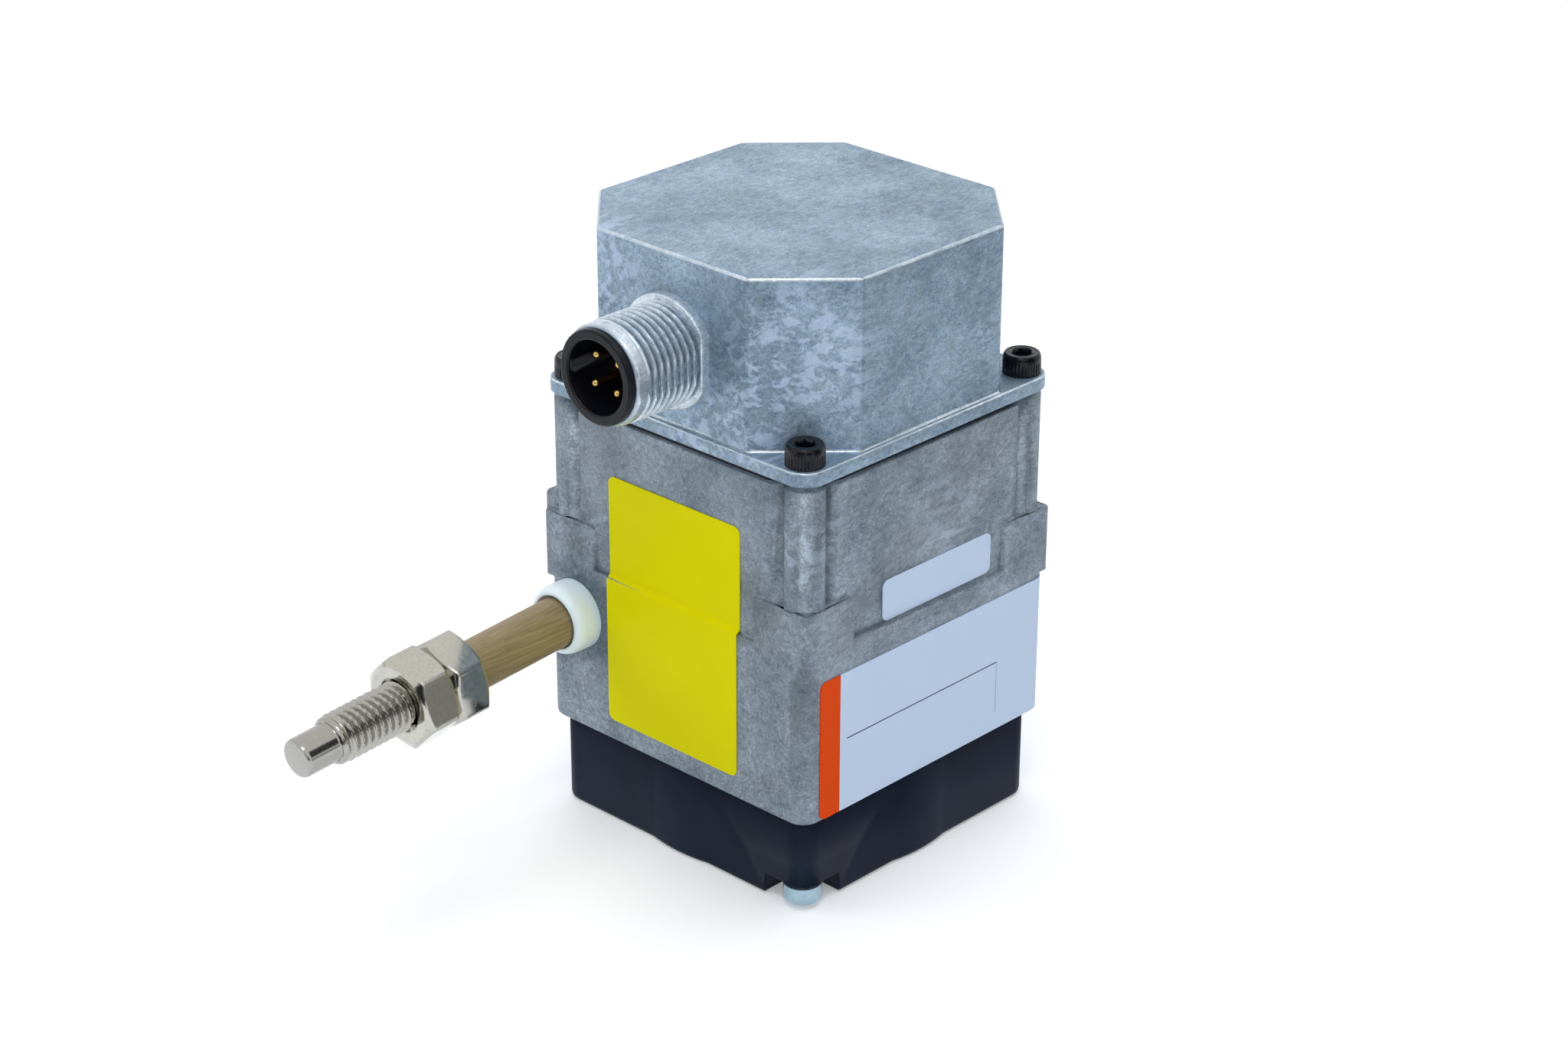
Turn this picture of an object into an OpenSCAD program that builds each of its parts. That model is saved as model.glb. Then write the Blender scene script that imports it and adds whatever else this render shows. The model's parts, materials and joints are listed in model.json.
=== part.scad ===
// Draw wire encoder. A wire winds on a spring driven drum in a square die-cast housing, and the
// drum shaft turns a ten turn potentiometer under an eight sided cover with a four pin plug.
// +Z is up, the origin lies on the drum axis in the plane of the base, and the wire leaves along -Y.

/* [Drum housing] */
// Width of the square housing over its lower walls
body_w = 42; // [40:0.5:50]
// Depth of the step, from the lower walls back to the upper ones
wall_step = 0.6; // [0.3:0.05:1]
// Height of the upper walls above the step
upper_wall_h = 19.9; // [19.8:0.1:25]
// Thickness of the upper walls
upper_wall_t = 1.85; // [1.5:0.05:2.4]
// Leg of the slanted cut at the corners of the upper walls
upper_cut = 5.1; // [4.3:0.1:5.6]
// Length of a corner block along the wall
block_w = 8; // [7:0.1:10]
// Height of the corner blocks above the step
block_h = 5.6; // [4:0.1:8]
// Radius of the lower corners
corner_r = 2.4; // [1:0.1:3]
// Radius of the sharper corner edge at the blocks
block_edge_r = 0.5; // [0.3:0.1:1]
// Height of the sharp corner edge below the step
sharp_edge_h = 2.7; // [1:0.1:4]
// Thickness of the floor that holds the lower bearing
floor_t = 5.5; // [5.3:0.1:7]
// Height of the drum chamber
chamber_h = 15; // [14.5:0.5:19]
// Distance of the chamber's upper end below the step in the walls
shelf_drop = 0.6; // [0.3:0.1:2]
// How far the slanted corners of the room above the chamber stay off the corner screws
column_room = 5.4; // [5:0.1:7]

/* [Mounting side] */
// Thickness of the rim that carries the mounting face above the blocks
pad_t = 2; // [1.5:0.1:3]
// Height of that rim above the corner blocks
pad_rise = 2.8; // [1:0.1:5]
// Radius of the rim's outer upper edge
pad_edge_r = 1.1; // [0.5:0.1:1.4]
// Core radius of the four threaded mounting holes
mount_hole_r = 1.65; // [1.2:0.05:2]
// Depth of the mounting holes
mount_hole_l = 5; // [3:0.5:6]
// Distance of the mounting holes from the front and rear faces
mount_edge = 8; // [7:0.5:10]
// Distance between the mounting holes up the side
mount_up = 13; // [10:0.5:14]
// Height of the lower mounting holes above the edge of the housing
mount_low_h = 5.5; // [4:0.5:7]

/* [Corner screws] */
// Distance of the corner screws from the outer faces
screw_edge = 2.75; // [2.6:0.05:3.1]
// Radius of the columns that carry the cover
column_r = 2.35; // [2.2:0.05:2.6]
// Thread radius of the corner screws
screw_r = 1.25; // [1:0.05:1.3]
// Head radius of the corner screws
head_r = 2.25; // [1.9:0.05:2.3]
// Head height of the cover screws
head_h = 2.5; // [1.5:0.1:3]
// Width of the hexagon socket across its flats
socket_w = 2; // [1.5:0.1:2.4]
// Length of the cover screws under the head
cover_screw_l = 12; // [8:1:14]
// Length of the spring housing screws in the drum housing
base_screw_l = 8; // [5:1:9]

/* [Spring housing] */
// Height of the spring housing
spring_h = 11.5; // [10:0.5:16]
// Distance from the drum housing's faces in to those of the spring housing
spring_inset = 0.9; // [0.5:0.1:1.2]
// Corner radius of the spring housing
spring_corner_r = 2.8; // [2:0.1:3.2]
// Distance from the drum housing's faces in to the room that the spring lies in
spring_edge = 2.6; // [2.5:0.1:4]
// Thickness of the round wall about that room, which bulges out of the flat sides
barrel_t = 2.2; // [2:0.1:2.5]
// Thickness of the base under the spring
base_t = 1.5; // [1:0.1:2.2]
// Width of the two opposite corner notches that hold screw heads
notch_w = 5.8; // [5.5:0.1:6.5]
// Height of the corner notches
notch_h = 2.8; // [2:0.1:3.2]
// Distance of the screw heads in the notches above the base
head_lift = 0.6; // [0.1:0.1:0.9]

/* [Drum and wire] */
// Distance of the outlet's axis from the side face. The wire leaves the drum in that plane.
outlet_edge = 5.05; // [5:0.05:7]
// Radius of the wire
wire_r = 0.25; // [0.2:0.01:0.3]
// Turns of wire on the drum
turns = 10; // [6:1:12]
// Distance between two turns
turn_pitch = 0.55; // [0.52:0.01:0.6]
// Free height on the drum below the lowest turn of wire
wind_gap = 1.5; // [0.5:0.1:3]
// How far the drum's rims stand past the wire's radius
rim_rise = 0.7; // [0.5:0.1:1]
// Thickness of each drum rim
rim_t = 1.5; // [1:0.1:2]
// Running gap between the drum's rims and the chamber's wall
drum_gap = 1; // [0.5:0.1:1.2]
// Gap between the drum's faces and the chamber's floor and roof
drum_end_gap = 0.8; // [0.5:0.1:1]
// Thickness of the drum's outer wall under the wire
drum_wall_t = 3; // [2:0.1:4]
// Thickness of the drum's web
web_t = 3; // [2:0.1:5]
// Width of the web left between its six holes and the drum's wall and hub
web_land = 0.9; // [0.5:0.1:1.5]

/* [Shaft, bearings and spring] */
// Radius of the drum shaft
shaft_r = 3; // [2.5:0.1:3.1]
// Outer radius of the ball bearings
bearing_r = 6.5; // [6.3:0.1:7]
// Width of the ball bearings
bearing_w = 5; // [4:0.1:5.1]
// Radius of the balls
ball_r = 1; // [0.8:0.05:1.1]
// Number of balls in each bearing
ball_count = 7; // [6:1:8]
// Thickness of the spring's strip
strip_t = 0.3; // [0.2:0.05:0.4]
// Width of the spring's strip
strip_w = 7; // [5:0.5:8]
// Turns of the spring at rest
spring_turns = 9; // [6:1:12]
// Outer radius of the arbor that the spring hooks into
arbor_r = 5; // [4.5:0.1:6]

/* [Wire end] */
// How far the wire end hangs below level while the wire is drawn in, in degrees
droop = 4.1; // [0:0.1:6]
// Radius of the outlet bush
bush_r = 4.3; // [4.2:0.05:4.8]
// How far the outlet bush stands out of the wall
bush_out = 3.5; // [2:0.1:5]
// Radius of the bush's rounded edge
bush_edge_r = 0.8; // [0.5:0.1:0.9]
// Depth of the bush's collar in the wall
bush_seat = 1.5; // [1:0.1:2]
// Length of the bush's stem behind the collar
bush_stem_l = 3; // [2:0.1:4]
// Depth of the mouth that takes the sleeve's end
mouth_depth = 1.3; // [0.5:0.1:1.5]
// Outer radius of the sleeve
sleeve_r = 3.05; // [2.8:0.05:3.2]
// Wall of the sleeve
sleeve_t = 1; // [0.8:0.05:1.1]
// Length of the sleeve that shows between the bush and the nuts
sleeve_l = 14.6; // [10:0.1:25]
// Thread radius of the stud
stud_r = 3; // [2.8:0.1:3.2]
// Depth of the stud's thread down to its middle, where the threads of the nuts meet it
thread_mid = 0.33; // [0.2:0.01:0.35]
// Length of the stud's thread ahead of the nuts
thread_l = 10.2; // [8:0.1:20]
// Radius of the stud's plain tip
tip_r = 2.35; // [2:0.05:2.5]
// Length of the plain tip
tip_l = 4.7; // [3:0.1:8]
// Radius of the small hole across the tip
tip_hole_r = 0.5; // [0.3:0.05:0.8]
// Length of the shank that holds the wire inside the sleeve
shank_l = 5; // [3:0.5:8]
// Width of a nut across its flats
nut_w = 10; // [9:0.1:11]
// Thickness of a nut
nut_t = 4.75; // [4:0.05:5.5]
// Turn of the front nut about the stud, in degrees
front_nut_turn = 44; // [0:1:60]
// Turn of the rear nut about the stud, in degrees
rear_nut_turn = 35; // [0:1:60]

/* [Encoder cover] */
// Thickness of the gasket under the cover
gasket_t = 0.65; // [0.3:0.05:0.8]
// How far the gasket lies behind the upper walls
gasket_inset = 0.5; // [0.3:0.05:0.8]
// How much further the gasket's corners are cut off than those of the upper walls
gasket_corner = 0.6; // [0:0.1:1]
// Height of the cover over all
cover_h = 22.3; // [22:0.1:27]
// Thickness of the cover's flange
flange_t = 2; // [1.5:0.1:3]
// Distance from the flange's edge in to the cover's faces
cover_inset = 0.55; // [0.3:0.05:1]
// Leg of the slanted cut at the cover's corners
cover_cut = 8.8; // [8:0.1:9.6]
// Thickness of the cover's walls and roof
cover_t = 1.9; // [1.6:0.1:2.4]

/* [Plug] */
// Height of the plug's axis above the flange's lower face
plug_h = 10.9; // [10:0.1:12]
// How far the plug stands out of the cover
plug_l = 11.7; // [10:0.1:14]
// Thread radius of the plug
plug_r = 6; // [6:0.1:7]
// Distance from the plug's axis to the flats beside its thread
plug_flat = 5.7; // [5.6:0.05:5.8]
// Radius of the collar at the plug's foot
collar_r = 6.7; // [6.4:0.1:7.5]
// Distance from the plug's axis to the flats beside its collar
collar_flat = 5.85; // [5.8:0.05:6.3]
// Length of the collar
collar_l = 1.2; // [1:0.1:3]
// Radius of the contact insert inside the plug
insert_r = 5.15; // [4.8:0.05:5.2]
// Radius of the insert's front lip
lip_r = 5.5; // [5.4:0.05:5.8]
// Thickness of that lip
lip_t = 0.9; // [0.4:0.1:1]
// Radius of the socket in the insert
socket_r = 4.25; // [4:0.05:4.3]
// Depth of the socket
socket_depth = 8; // [6:0.1:9]
// Radius of the contact pins
pin_r = 0.5; // [0.4:0.05:0.6]
// Distance between two neighbouring pins
pin_pitch = 3.5; // [3.2:0.05:4]
// Distance of the pins' tips behind the insert's face
pin_back = 1.5; // [1:0.1:3]
// Turn of the insert and its pins in the plug, in degrees
insert_turn = 4.3; // [0:0.1:10]

/* [Sensor] */
// Distance of the potentiometer from the leads of the plug
pot_gap = 1.7; // [1:0.1:4]
// Distance from the potentiometer up to the board
pot_lead_l = 2.8; // [2:0.1:5]
// Radius of the potentiometer's threaded bushing
bushing_r = 4.75; // [4:0.05:5]
// Length of that bushing
bushing_l = 4.6; // [4:0.1:5]
// Width of the bushing's nut across its flats
bushing_nut_w = 12; // [11.5:0.1:14]
// Thickness of the bushing's nut
bushing_nut_t = 2; // [1.5:0.1:2.4]
// Thickness of the plate that carries the upper bearing
bearing_plate_t = 3; // [2:0.1:3.5]
// Distance of the spacers from the walls of the room
spacer_edge = 4.7; // [4.6:0.05:5]
// Radius of the spacers
spacer_r = 2; // [1.8:0.05:2.2]
// Thickness of the plate that carries the potentiometer
sensor_plate_t = 1.6; // [1:0.1:1.8]
// Length of the shaft coupling
coupling_l = 7.4; // [7:0.1:8.2]
// Radius of the shaft coupling
coupling_r = 7; // [5:0.1:8]
// Gap between the coupling and its neighbours, the potentiometer above and the bearing's boss below
coupling_gap = 0.4; // [0.3:0.1:1]
// Thickness of the circuit board
board_t = 1.6; // [1:0.1:1.6]
// Distance of the circuit board from the cover's walls
board_gap = 2.5; // [2:0.1:4]
// Distance of the board's posts from the cover's walls
post_edge = 5.8; // [5:0.1:7]
// Length of the posts that hold the board under the roof
post_l = 1.6; // [1:0.1:2]

/* [Labels] */
// Thickness of the labels
label_t = 0.12; // [0.08:0.01:0.2]
// Corner radius of the labels
label_r = 0.9; // [0.5:0.1:1.2]
// Distance of the yellow label from the corner blocks
yellow_gap = 2.55; // [2:0.05:4]
// Height of the yellow label
yellow_h = 31.2; // [28:0.1:34]
// Height of the yellow label's lower edge above the edge of the housing
yellow_low = 2.9; // [1:0.1:4]
// Distance of the type label's upper edge below the sharp corner edges
type_gap = 0.7; // [0.3:0.1:2]
// Distance of the type label's lower edge from the edge of the housing
type_low = 0.3; // [0.2:0.1:1]
// Distance of the type label's front end from the front face
type_front = 2.5; // [2.5:0.1:5]
// Length of the type label's end that is folded round the rear corner
type_fold = 5.5; // [3:0.5:10]
// Distance of the number label behind the front corner block
number_front = 5.3; // [2:0.1:8]
// Distance of the number label from the rear corner block
number_rear = 2.1; // [1:0.1:6]
// Height of the number label
number_h = 5.1; // [4:0.1:7]

/* [Hidden] */
$fn = 48;

// Clearances
seat_gap = 0.01;     // a ring or a shaft pressed into its seat
thread_gap = 0.03;   // a screw in its threaded hole
slip_gap = 0.1;      // a loose part in its hole or cavity
cut = 0.5;           // how far a cutting shape runs past the face that it cuts

// Levels above the base
edge_z = spring_h;
lower_wall_h = floor_t + chamber_h + shelf_drop;
step_z = edge_z + lower_wall_h;
block_z = step_z + block_h;
pad_z = block_z + pad_rise;
wall_z = step_z + upper_wall_h;
flange_z = wall_z + gasket_t;
top_z = flange_z + cover_h;
roof_z = top_z - cover_t;
floor_z = edge_z + floor_t;
shelf_z = floor_z + chamber_h;
outlet_z = floor_z + drum_end_gap + rim_t + wind_gap + turns * turn_pitch;
plug_z = flange_z + plug_h;

// The slimmer necks at the tops of the columns
column_neck_h = 0.55;
column_neck_r = column_r - 0.45;

// Plan sizes
body_half = body_w / 2;
upper_half = body_half - wall_step;
cavity_half = upper_half - upper_wall_t;
screw_pos = body_half - screw_edge;
cavity_cut = 2 * (cavity_half - screw_pos) + column_room;
cover_half = body_half - cover_inset;
// a wall of equal thickness along the slanted corners takes this much off the cut inside
cover_room_half = cover_half - cover_t;
cover_room_cut = cover_cut - (2 - sqrt(2)) * cover_t;
wind_r = body_half - outlet_edge;
rim_r = wind_r + rim_rise;
chamber_r = rim_r + drum_gap;
spring_room_r = body_half - spring_edge;
mount_across = body_w - 2 * mount_edge;
spacer_pos = cavity_half - spacer_edge;
board_half = cover_room_half - board_gap;
post_pos = cover_room_half - post_edge;
bearing_ledge_r = bearing_r - 1.5;
bush_stem_r = bush_r - 1.25;
wire_channel_r = wire_r + 0.55;
yellow_w = body_w - 2 * (block_w + yellow_gap);
number_w = body_w - 2 * block_w - number_front - number_rear;
number_y = (number_front - number_rear) / 2;
type_h = lower_wall_h - sharp_edge_h - type_low - type_gap;
screw_hole_r = screw_r;
screw_shank_r = screw_r - thread_gap;
small_screw_r = 1;
small_head_r = 1.9;
small_head_h = 1.5;
small_screw_l = 5;
spacer_stud_l = 4;
spacer_hole_l = spacer_stud_l + 0.5;
slot_w = 0.5;
slot_depth = 0.7;
lead_r = 0.4;
contact_tail = 3;
upper_run = 0.8;
lower_run = upper_run + 4 * lead_r;

// Sensor train above the drum
bearing_lip_h = 0.8;
boss_z = shelf_z + bearing_w + bearing_lip_h;
coupling_z = boss_z + 3 * coupling_gap;
spacer_z = shelf_z + bearing_plate_t;
sensor_z = coupling_z + coupling_l + coupling_gap + bushing_l;
spacer_l = sensor_z - sensor_plate_t - spacer_z;
board_z = roof_z - post_l - board_t;
pot_top_z = board_z - pot_lead_l;
pot_l = pot_top_z - sensor_z;
pot_r = cover_room_half - contact_tail - lower_run - lead_r - pot_gap;
pot_shaft_r = shaft_r;
pot_shaft_depth = 3.5;
hub_end_r = (shaft_r + bearing_r) / 2 - 0.65 * ball_r;
spring_gap = 0.6;

// Wire end, measured outwards from the floor of the bush's mouth
sleeve_start = 0.3;
nuts_start = mouth_depth + sleeve_l;
front_nut_start = nuts_start + nut_t;
thread_start = front_nut_start + nut_t;
tip_start = thread_start + thread_l;
tip_end = tip_start + tip_l;
shank_r = sleeve_r - sleeve_t - slip_gap / 2;
meshed_r = stud_r - thread_mid;

// Distances of a contact pin from the plug's axis, across and up. The signs x and y choose the pin.
function pin_across(x, y) = pin_pitch / 2 * (x * cos(insert_turn) + y * sin(insert_turn));
function pin_up(x, y) = pin_pitch / 2 * (y * cos(insert_turn) - x * sin(insert_turn));

// A square of width w with its four corners rounded to radius r
module round_square(w, r) {
    square([w, w - 2 * r], center = true);
    square([w - 2 * r, w], center = true);
    for (x = [-1, 1], y = [-1, 1])
        translate([x, y] * (w / 2 - r))
            circle(r);
}

// A square with flats at distance half from the middle and its corners cut off by legs of length leg
module eight_sided(half, leg) {
    q = half - leg;
    polygon([
        [half, -q], [half, q], [q, half], [-q, half],
        [-half, q], [-half, -q], [-q, -half], [q, -half]
    ]);
}

// A rectangle from the middle of its lower edge, with rounded corners
module label_outline(w, h) {
    translate([-w / 2, label_r])
        square([w, h - 2 * label_r]);
    translate([label_r - w / 2, 0])
        square([w - 2 * label_r, h]);
    for (x = [-1, 1], y = [label_r, h - label_r])
        translate([x * (w / 2 - label_r), y])
            circle(label_r);
}

// Copies of a child at the four corners, at distance pos from both middle planes
module at_corners(pos) {
    for (x = [-1, 1], y = [-1, 1])
        translate([x * pos, y * pos, 0])
            children();
}

// Copies of a child at the near corner on +X and at the one opposite to it
module at_opposite_corners(pos) {
    for (side = [-1, 1])
        translate([side * pos, -side * pos, 0])
            children();
}

// Turns a shape that is drawn along +Z so that it points out along -Y
module outward(x, y, z) {
    translate([x, y, z])
        rotate([90, 0, 0])
            children();
}

// The frame of the drooping wire end: +Z runs out along the stud from the mouth of the bush
module wire_end_frame() {
    translate([-wind_r, -body_half - bush_out + mouth_depth, outlet_z])
        rotate([90 + droop, 0, 0])
            children();
}

// A hexagonal prism, w across its flats, with the corners of both ends turned down
module hexagon_nut(w, t) {
    corner_r = w / sqrt(3);
    turned = corner_r - w / 2;
    slope = tan(30);
    intersection() {
        linear_extrude(t)
            circle(r = corner_r, $fn = 6);
        rotate_extrude()
            polygon([[0, 0], [w / 2 - 0.2, 0], [corner_r, (turned + 0.2) * slope],
                     [corner_r, t - (turned + 0.2) * slope], [w / 2 - 0.2, t], [0, t]]);
    }
}

// The die-cast housing of the drum. Its lower walls step back to the upper ones, whose slanted
// corners hold round columns for the cover's screws. Corner blocks stand at the feet of the columns,
// and the side on -X is a flat mounting face with a rim and four threaded holes.
module drum_housing() {
    color("#8f979d")
    difference() {
        union() {
            translate([0, 0, edge_z])
                linear_extrude(lower_wall_h - sharp_edge_h)
                    round_square(body_w, corner_r);
            translate([0, 0, step_z - sharp_edge_h])
                linear_extrude(sharp_edge_h)
                    round_square(body_w, block_edge_r);
            translate([0, 0, step_z])
                linear_extrude(block_h)
                    intersection() {
                        round_square(body_w, block_edge_r);
                        for (x = [-1, 1], y = [-1, 1])
                            translate([x, y] * (body_half - block_w / 2))
                                square(block_w, center = true);
                    }
            translate([0, 0, step_z])
                linear_extrude(upper_wall_h)
                    eight_sided(upper_half, upper_cut);
            at_corners(screw_pos)
                translate([0, 0, step_z])
                    cylinder(r = column_r, h = flange_z - step_z - column_neck_h);
            at_corners(screw_pos)
                translate([0, 0, step_z])
                    cylinder(r = column_neck_r, h = flange_z - step_z);
            mounting_rim();
        }
        translate([0, 0, floor_z])
            cylinder(r = chamber_r, h = chamber_h + cut);
        translate([0, 0, shelf_z])
            linear_extrude(wall_z - shelf_z + cut)
                eight_sided(cavity_half, cavity_cut);
        // seat of the lower bearing, with a smaller hole below it for the shaft
        translate([0, 0, floor_z - bearing_w])
            cylinder(r = bearing_r + seat_gap, h = bearing_w + cut);
        translate([0, 0, edge_z - cut])
            cylinder(r = bearing_ledge_r, h = floor_t);
        // holes for the corner screws from below and from above
        at_opposite_corners(screw_pos)
            translate([0, 0, edge_z - cut])
                cylinder(r = screw_hole_r, h = base_screw_l + 1 + cut);
        at_corners(screw_pos)
            translate([0, 0, flange_z + flange_t - cover_screw_l - 1])
                cylinder(r = screw_hole_r, h = cover_screw_l + 1);
        // holes in the shelf for the studs of the spacers
        at_corners(spacer_pos)
            translate([0, 0, shelf_z - spacer_hole_l])
                cylinder(r = small_screw_r + thread_gap, h = spacer_hole_l + cut);
        // seat of the outlet bush and the channel of the wire
        outward(-wind_r, -body_half, outlet_z) {
            translate([0, 0, -bush_seat])
                cylinder(r = bush_r + seat_gap, h = bush_seat + cut);
            translate([0, 0, -bush_seat - bush_stem_l])
                cylinder(r = bush_stem_r + seat_gap, h = bush_stem_l + cut);
            translate([0, 0, -body_half + sqrt(pow(chamber_r, 2) - pow(wind_r, 2)) - cut])
                cylinder(r = wire_channel_r, h = body_half);
        }
        // threaded holes of the mounting face
        for (y = [-1, 1], z = [mount_low_h, mount_low_h + mount_up])
            translate([-body_half - cut, y * mount_across / 2, edge_z + z])
                rotate([0, 90, 0])
                    cylinder(r = mount_hole_r, h = mount_hole_l + cut);
    }
}

// The rim that carries the mounting face up past the corner blocks
module mounting_rim() {
    rise = pad_z - step_z;
    translate([-body_half, body_half - block_edge_r, step_z])
        rotate([90, 0, 0])
            linear_extrude(body_w - 2 * block_edge_r) {
                square([pad_t, rise - pad_edge_r]);
                translate([pad_edge_r, 0])
                    square([pad_t - pad_edge_r, rise]);
                translate([pad_edge_r, rise - pad_edge_r])
                    circle(pad_edge_r);
            }
}

// The moulded housing of the power spring, with screw heads in two opposite corner notches
module spring_housing() {
    spring_half = body_half - spring_inset;
    color("#2b303c")
    difference() {
        linear_extrude(spring_h) {
            round_square(2 * spring_half, spring_corner_r);
            circle(spring_room_r + barrel_t, $fn = 96);
        }
        translate([0, 0, base_t])
            cylinder(r = spring_room_r, h = spring_h);
        at_opposite_corners(spring_half - notch_w / 2)
            translate([0, 0, notch_h / 2 - cut / 2])
                cube([notch_w + cut, notch_w + cut, notch_h + cut], center = true);
        at_opposite_corners(screw_pos)
            cylinder(r = screw_r + slip_gap, h = spring_h + cut);
        // slot for the outer end of the spring
        translate([spring_room_r - 0.5, -strip_t, base_t])
            cube([1.6, 2 * strip_t, spring_h]);
    }
}

// Two screws up through the spring housing, heads below
module spring_housing_screws() {
    pan_h = notch_h - head_lift;
    edge = 0.4;
    color("#a9c3d1")
    at_opposite_corners(screw_pos)
        difference() {
            union() {
                translate([0, 0, head_lift])
                    rotate_extrude()
                        polygon([[0, 0], [head_r - edge, 0],
                                 for (a = [-60:30:0])
                                     [head_r - edge + edge * cos(a), edge + edge * sin(a)],
                                 [head_r, pan_h], [0, pan_h]]);
                translate([0, 0, notch_h])
                    cylinder(r = screw_shank_r, h = edge_z - notch_h + base_screw_l);
            }
            translate([0, 0, head_lift - cut])
                linear_extrude(pan_h / 2 + cut)
                    circle(d = socket_w * 2 / sqrt(3), $fn = 6);
        }
}

// The flat seal between the upper walls and the cover, cut out round the columns
module cover_gasket() {
    color("#23262b")
    translate([0, 0, wall_z])
        linear_extrude(gasket_t)
            difference() {
                eight_sided(upper_half - gasket_inset, upper_cut + gasket_corner);
                eight_sided(cavity_half, cavity_cut);
                at_corners(screw_pos)
                    circle(column_r + slip_gap);
            }
}

// The die-cast cover: a flange with round screw corners, an eight sided box and the plug's threaded
// stub, cast in one piece
module encoder_cover() {
    stub_l = plug_l - lip_t;
    color("#94a3b1")
    difference() {
        union() {
            difference() {
                union() {
                    translate([0, 0, flange_z])
                        linear_extrude(flange_t)
                            round_square(body_w, screw_edge);
                    translate([0, 0, flange_z])
                        linear_extrude(cover_h)
                            eight_sided(cover_half, cover_cut);
                    outward(0, -cover_half, plug_z) {
                        intersection() {
                            translate([0, 0, -cover_t / 2])
                                cylinder(r = collar_r, h = collar_l + cover_t / 2);
                            cube([2 * collar_flat, 3 * collar_r, 4 * collar_l], center = true);
                        }
                        intersection() {
                            union() {
                                translate([0, 0, -cover_t / 2])
                                    cylinder(r = plug_r, h = stub_l + cover_t / 2 - 0.5);
                                translate([0, 0, stub_l - 0.5])
                                    cylinder(r1 = plug_r, r2 = plug_r - 0.35, h = 0.5);
                            }
                            cube([2 * plug_flat, 3 * plug_r, 4 * plug_l], center = true);
                        }
                    }
                }
                translate([0, 0, flange_z - cut])
                    linear_extrude(roof_z - flange_z + cut)
                        eight_sided(cover_room_half, cover_room_cut);
            }
            at_corners(post_pos)
                translate([0, 0, roof_z - post_l])
                    cylinder(r = 1.8, h = post_l + cover_t / 2);
        }
        at_corners(post_pos)
            translate([0, 0, roof_z - post_l - cut])
                cylinder(r = small_screw_r + thread_gap, h = post_l + cut + 1);
        at_corners(screw_pos)
            translate([0, 0, flange_z - cut])
                cylinder(r = screw_r + slip_gap, h = flange_t + 2 * cut);
        outward(0, -cover_half, plug_z)
            translate([0, 0, -cover_t - cut])
                cylinder(r = insert_r + seat_gap, h = stub_l + cover_t + 2 * cut);
    }
}

// Four socket head screws that hold the cover down on the columns
module cover_screws() {
    color("#1d1f24")
    at_corners(screw_pos)
        translate([0, 0, flange_z + flange_t])
            difference() {
                union() {
                    cylinder(r = head_r, h = head_h - 0.3);
                    translate([0, 0, head_h - 0.3])
                        cylinder(r1 = head_r, r2 = head_r - 0.3, h = 0.3);
                    translate([0, 0, -cover_screw_l])
                        cylinder(r = screw_shank_r, h = cover_screw_l + cut);
                }
                translate([0, 0, head_h - 1.3])
                    linear_extrude(1.3 + cut)
                        circle(d = socket_w * 2 / sqrt(3), $fn = 6);
            }
}

// Places of the four contact pins about the plug's axis
module at_pins() {
    for (x = [-1, 1], y = [-1, 1])
        translate([pin_across(x, y), pin_up(x, y), 0])
            children();
}

// The moulded insert of the plug: a socket with a coding rib, closed by the floor that holds the pins
module contact_insert() {
    back_l = cover_t + 2;
    color("#16181d")
    outward(0, -cover_half, plug_z)
        difference() {
            union() {
                translate([0, 0, -back_l])
                    cylinder(r = insert_r, h = back_l + plug_l);
                translate([0, 0, plug_l - lip_t])
                    cylinder(r = lip_r, h = lip_t);
            }
            difference() {
                translate([0, 0, plug_l - socket_depth])
                    cylinder(r = socket_r, h = socket_depth + cut);
                rotate([0, 0, -insert_turn])
                    translate([-socket_r - 1, -0.7, plug_l - socket_depth - cut])
                        cube([1.8, 1.4, socket_depth + cut - 0.4]);
            }
            at_pins()
                translate([0, 0, -back_l - cut])
                    cylinder(r = pin_r + seat_gap, h = back_l + plug_l);
        }
}

// Four round contact pins with rounded tips
module contact_pins() {
    tail_l = cover_t + contact_tail;
    color("#d9b25a")
    outward(0, -cover_half, plug_z)
        at_pins() {
            translate([0, 0, -tail_l])
                cylinder(r = pin_r, h = tail_l + plug_l - pin_back - pin_r);
            translate([0, 0, plug_l - pin_back - pin_r])
                sphere(pin_r);
        }
}

// Four leads from the tails of the pins up to the board, the lower pair behind the upper one
module connector_leads() {
    tail_y = -cover_half + cover_t + contact_tail;
    color("#3b5fa0")
    for (x = [-1, 1], row = [-1, 1]) {
        lead_x = pin_across(x, row);
        lead_z = plug_z + pin_up(x, row);
        run = row > 0 ? upper_run : lower_run;
        translate([lead_x, tail_y + run, lead_z])
            rotate([90, 0, 0])
                cylinder(r = lead_r, h = run);
        translate([lead_x, tail_y + run, lead_z])
            sphere(lead_r);
        translate([lead_x, tail_y + run, lead_z])
            cylinder(r = lead_r, h = board_z - lead_z);
    }
}

// The pale bush in which the wire leaves the housing, with a rounded edge and a mouth for the sleeve
module wire_outlet() {
    mouth_r = sleeve_r + 0.25;
    wire_hole_r = wire_r + 0.35;
    rear = -bush_seat - bush_stem_l;
    color("#dbe8ea")
    outward(-wind_r, -body_half, outlet_z)
        rotate_extrude()
            polygon([
                [wire_hole_r, rear], [bush_stem_r, rear], [bush_stem_r, -bush_seat], [bush_r, -bush_seat],
                for (a = [0:15:90])
                    [bush_r - bush_edge_r * (1 - cos(a)), bush_out - bush_edge_r * (1 - sin(a))],
                [mouth_r, bush_out], [mouth_r, bush_out - mouth_depth],
                [wire_hole_r, bush_out - mouth_depth]
            ]);
}

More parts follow.
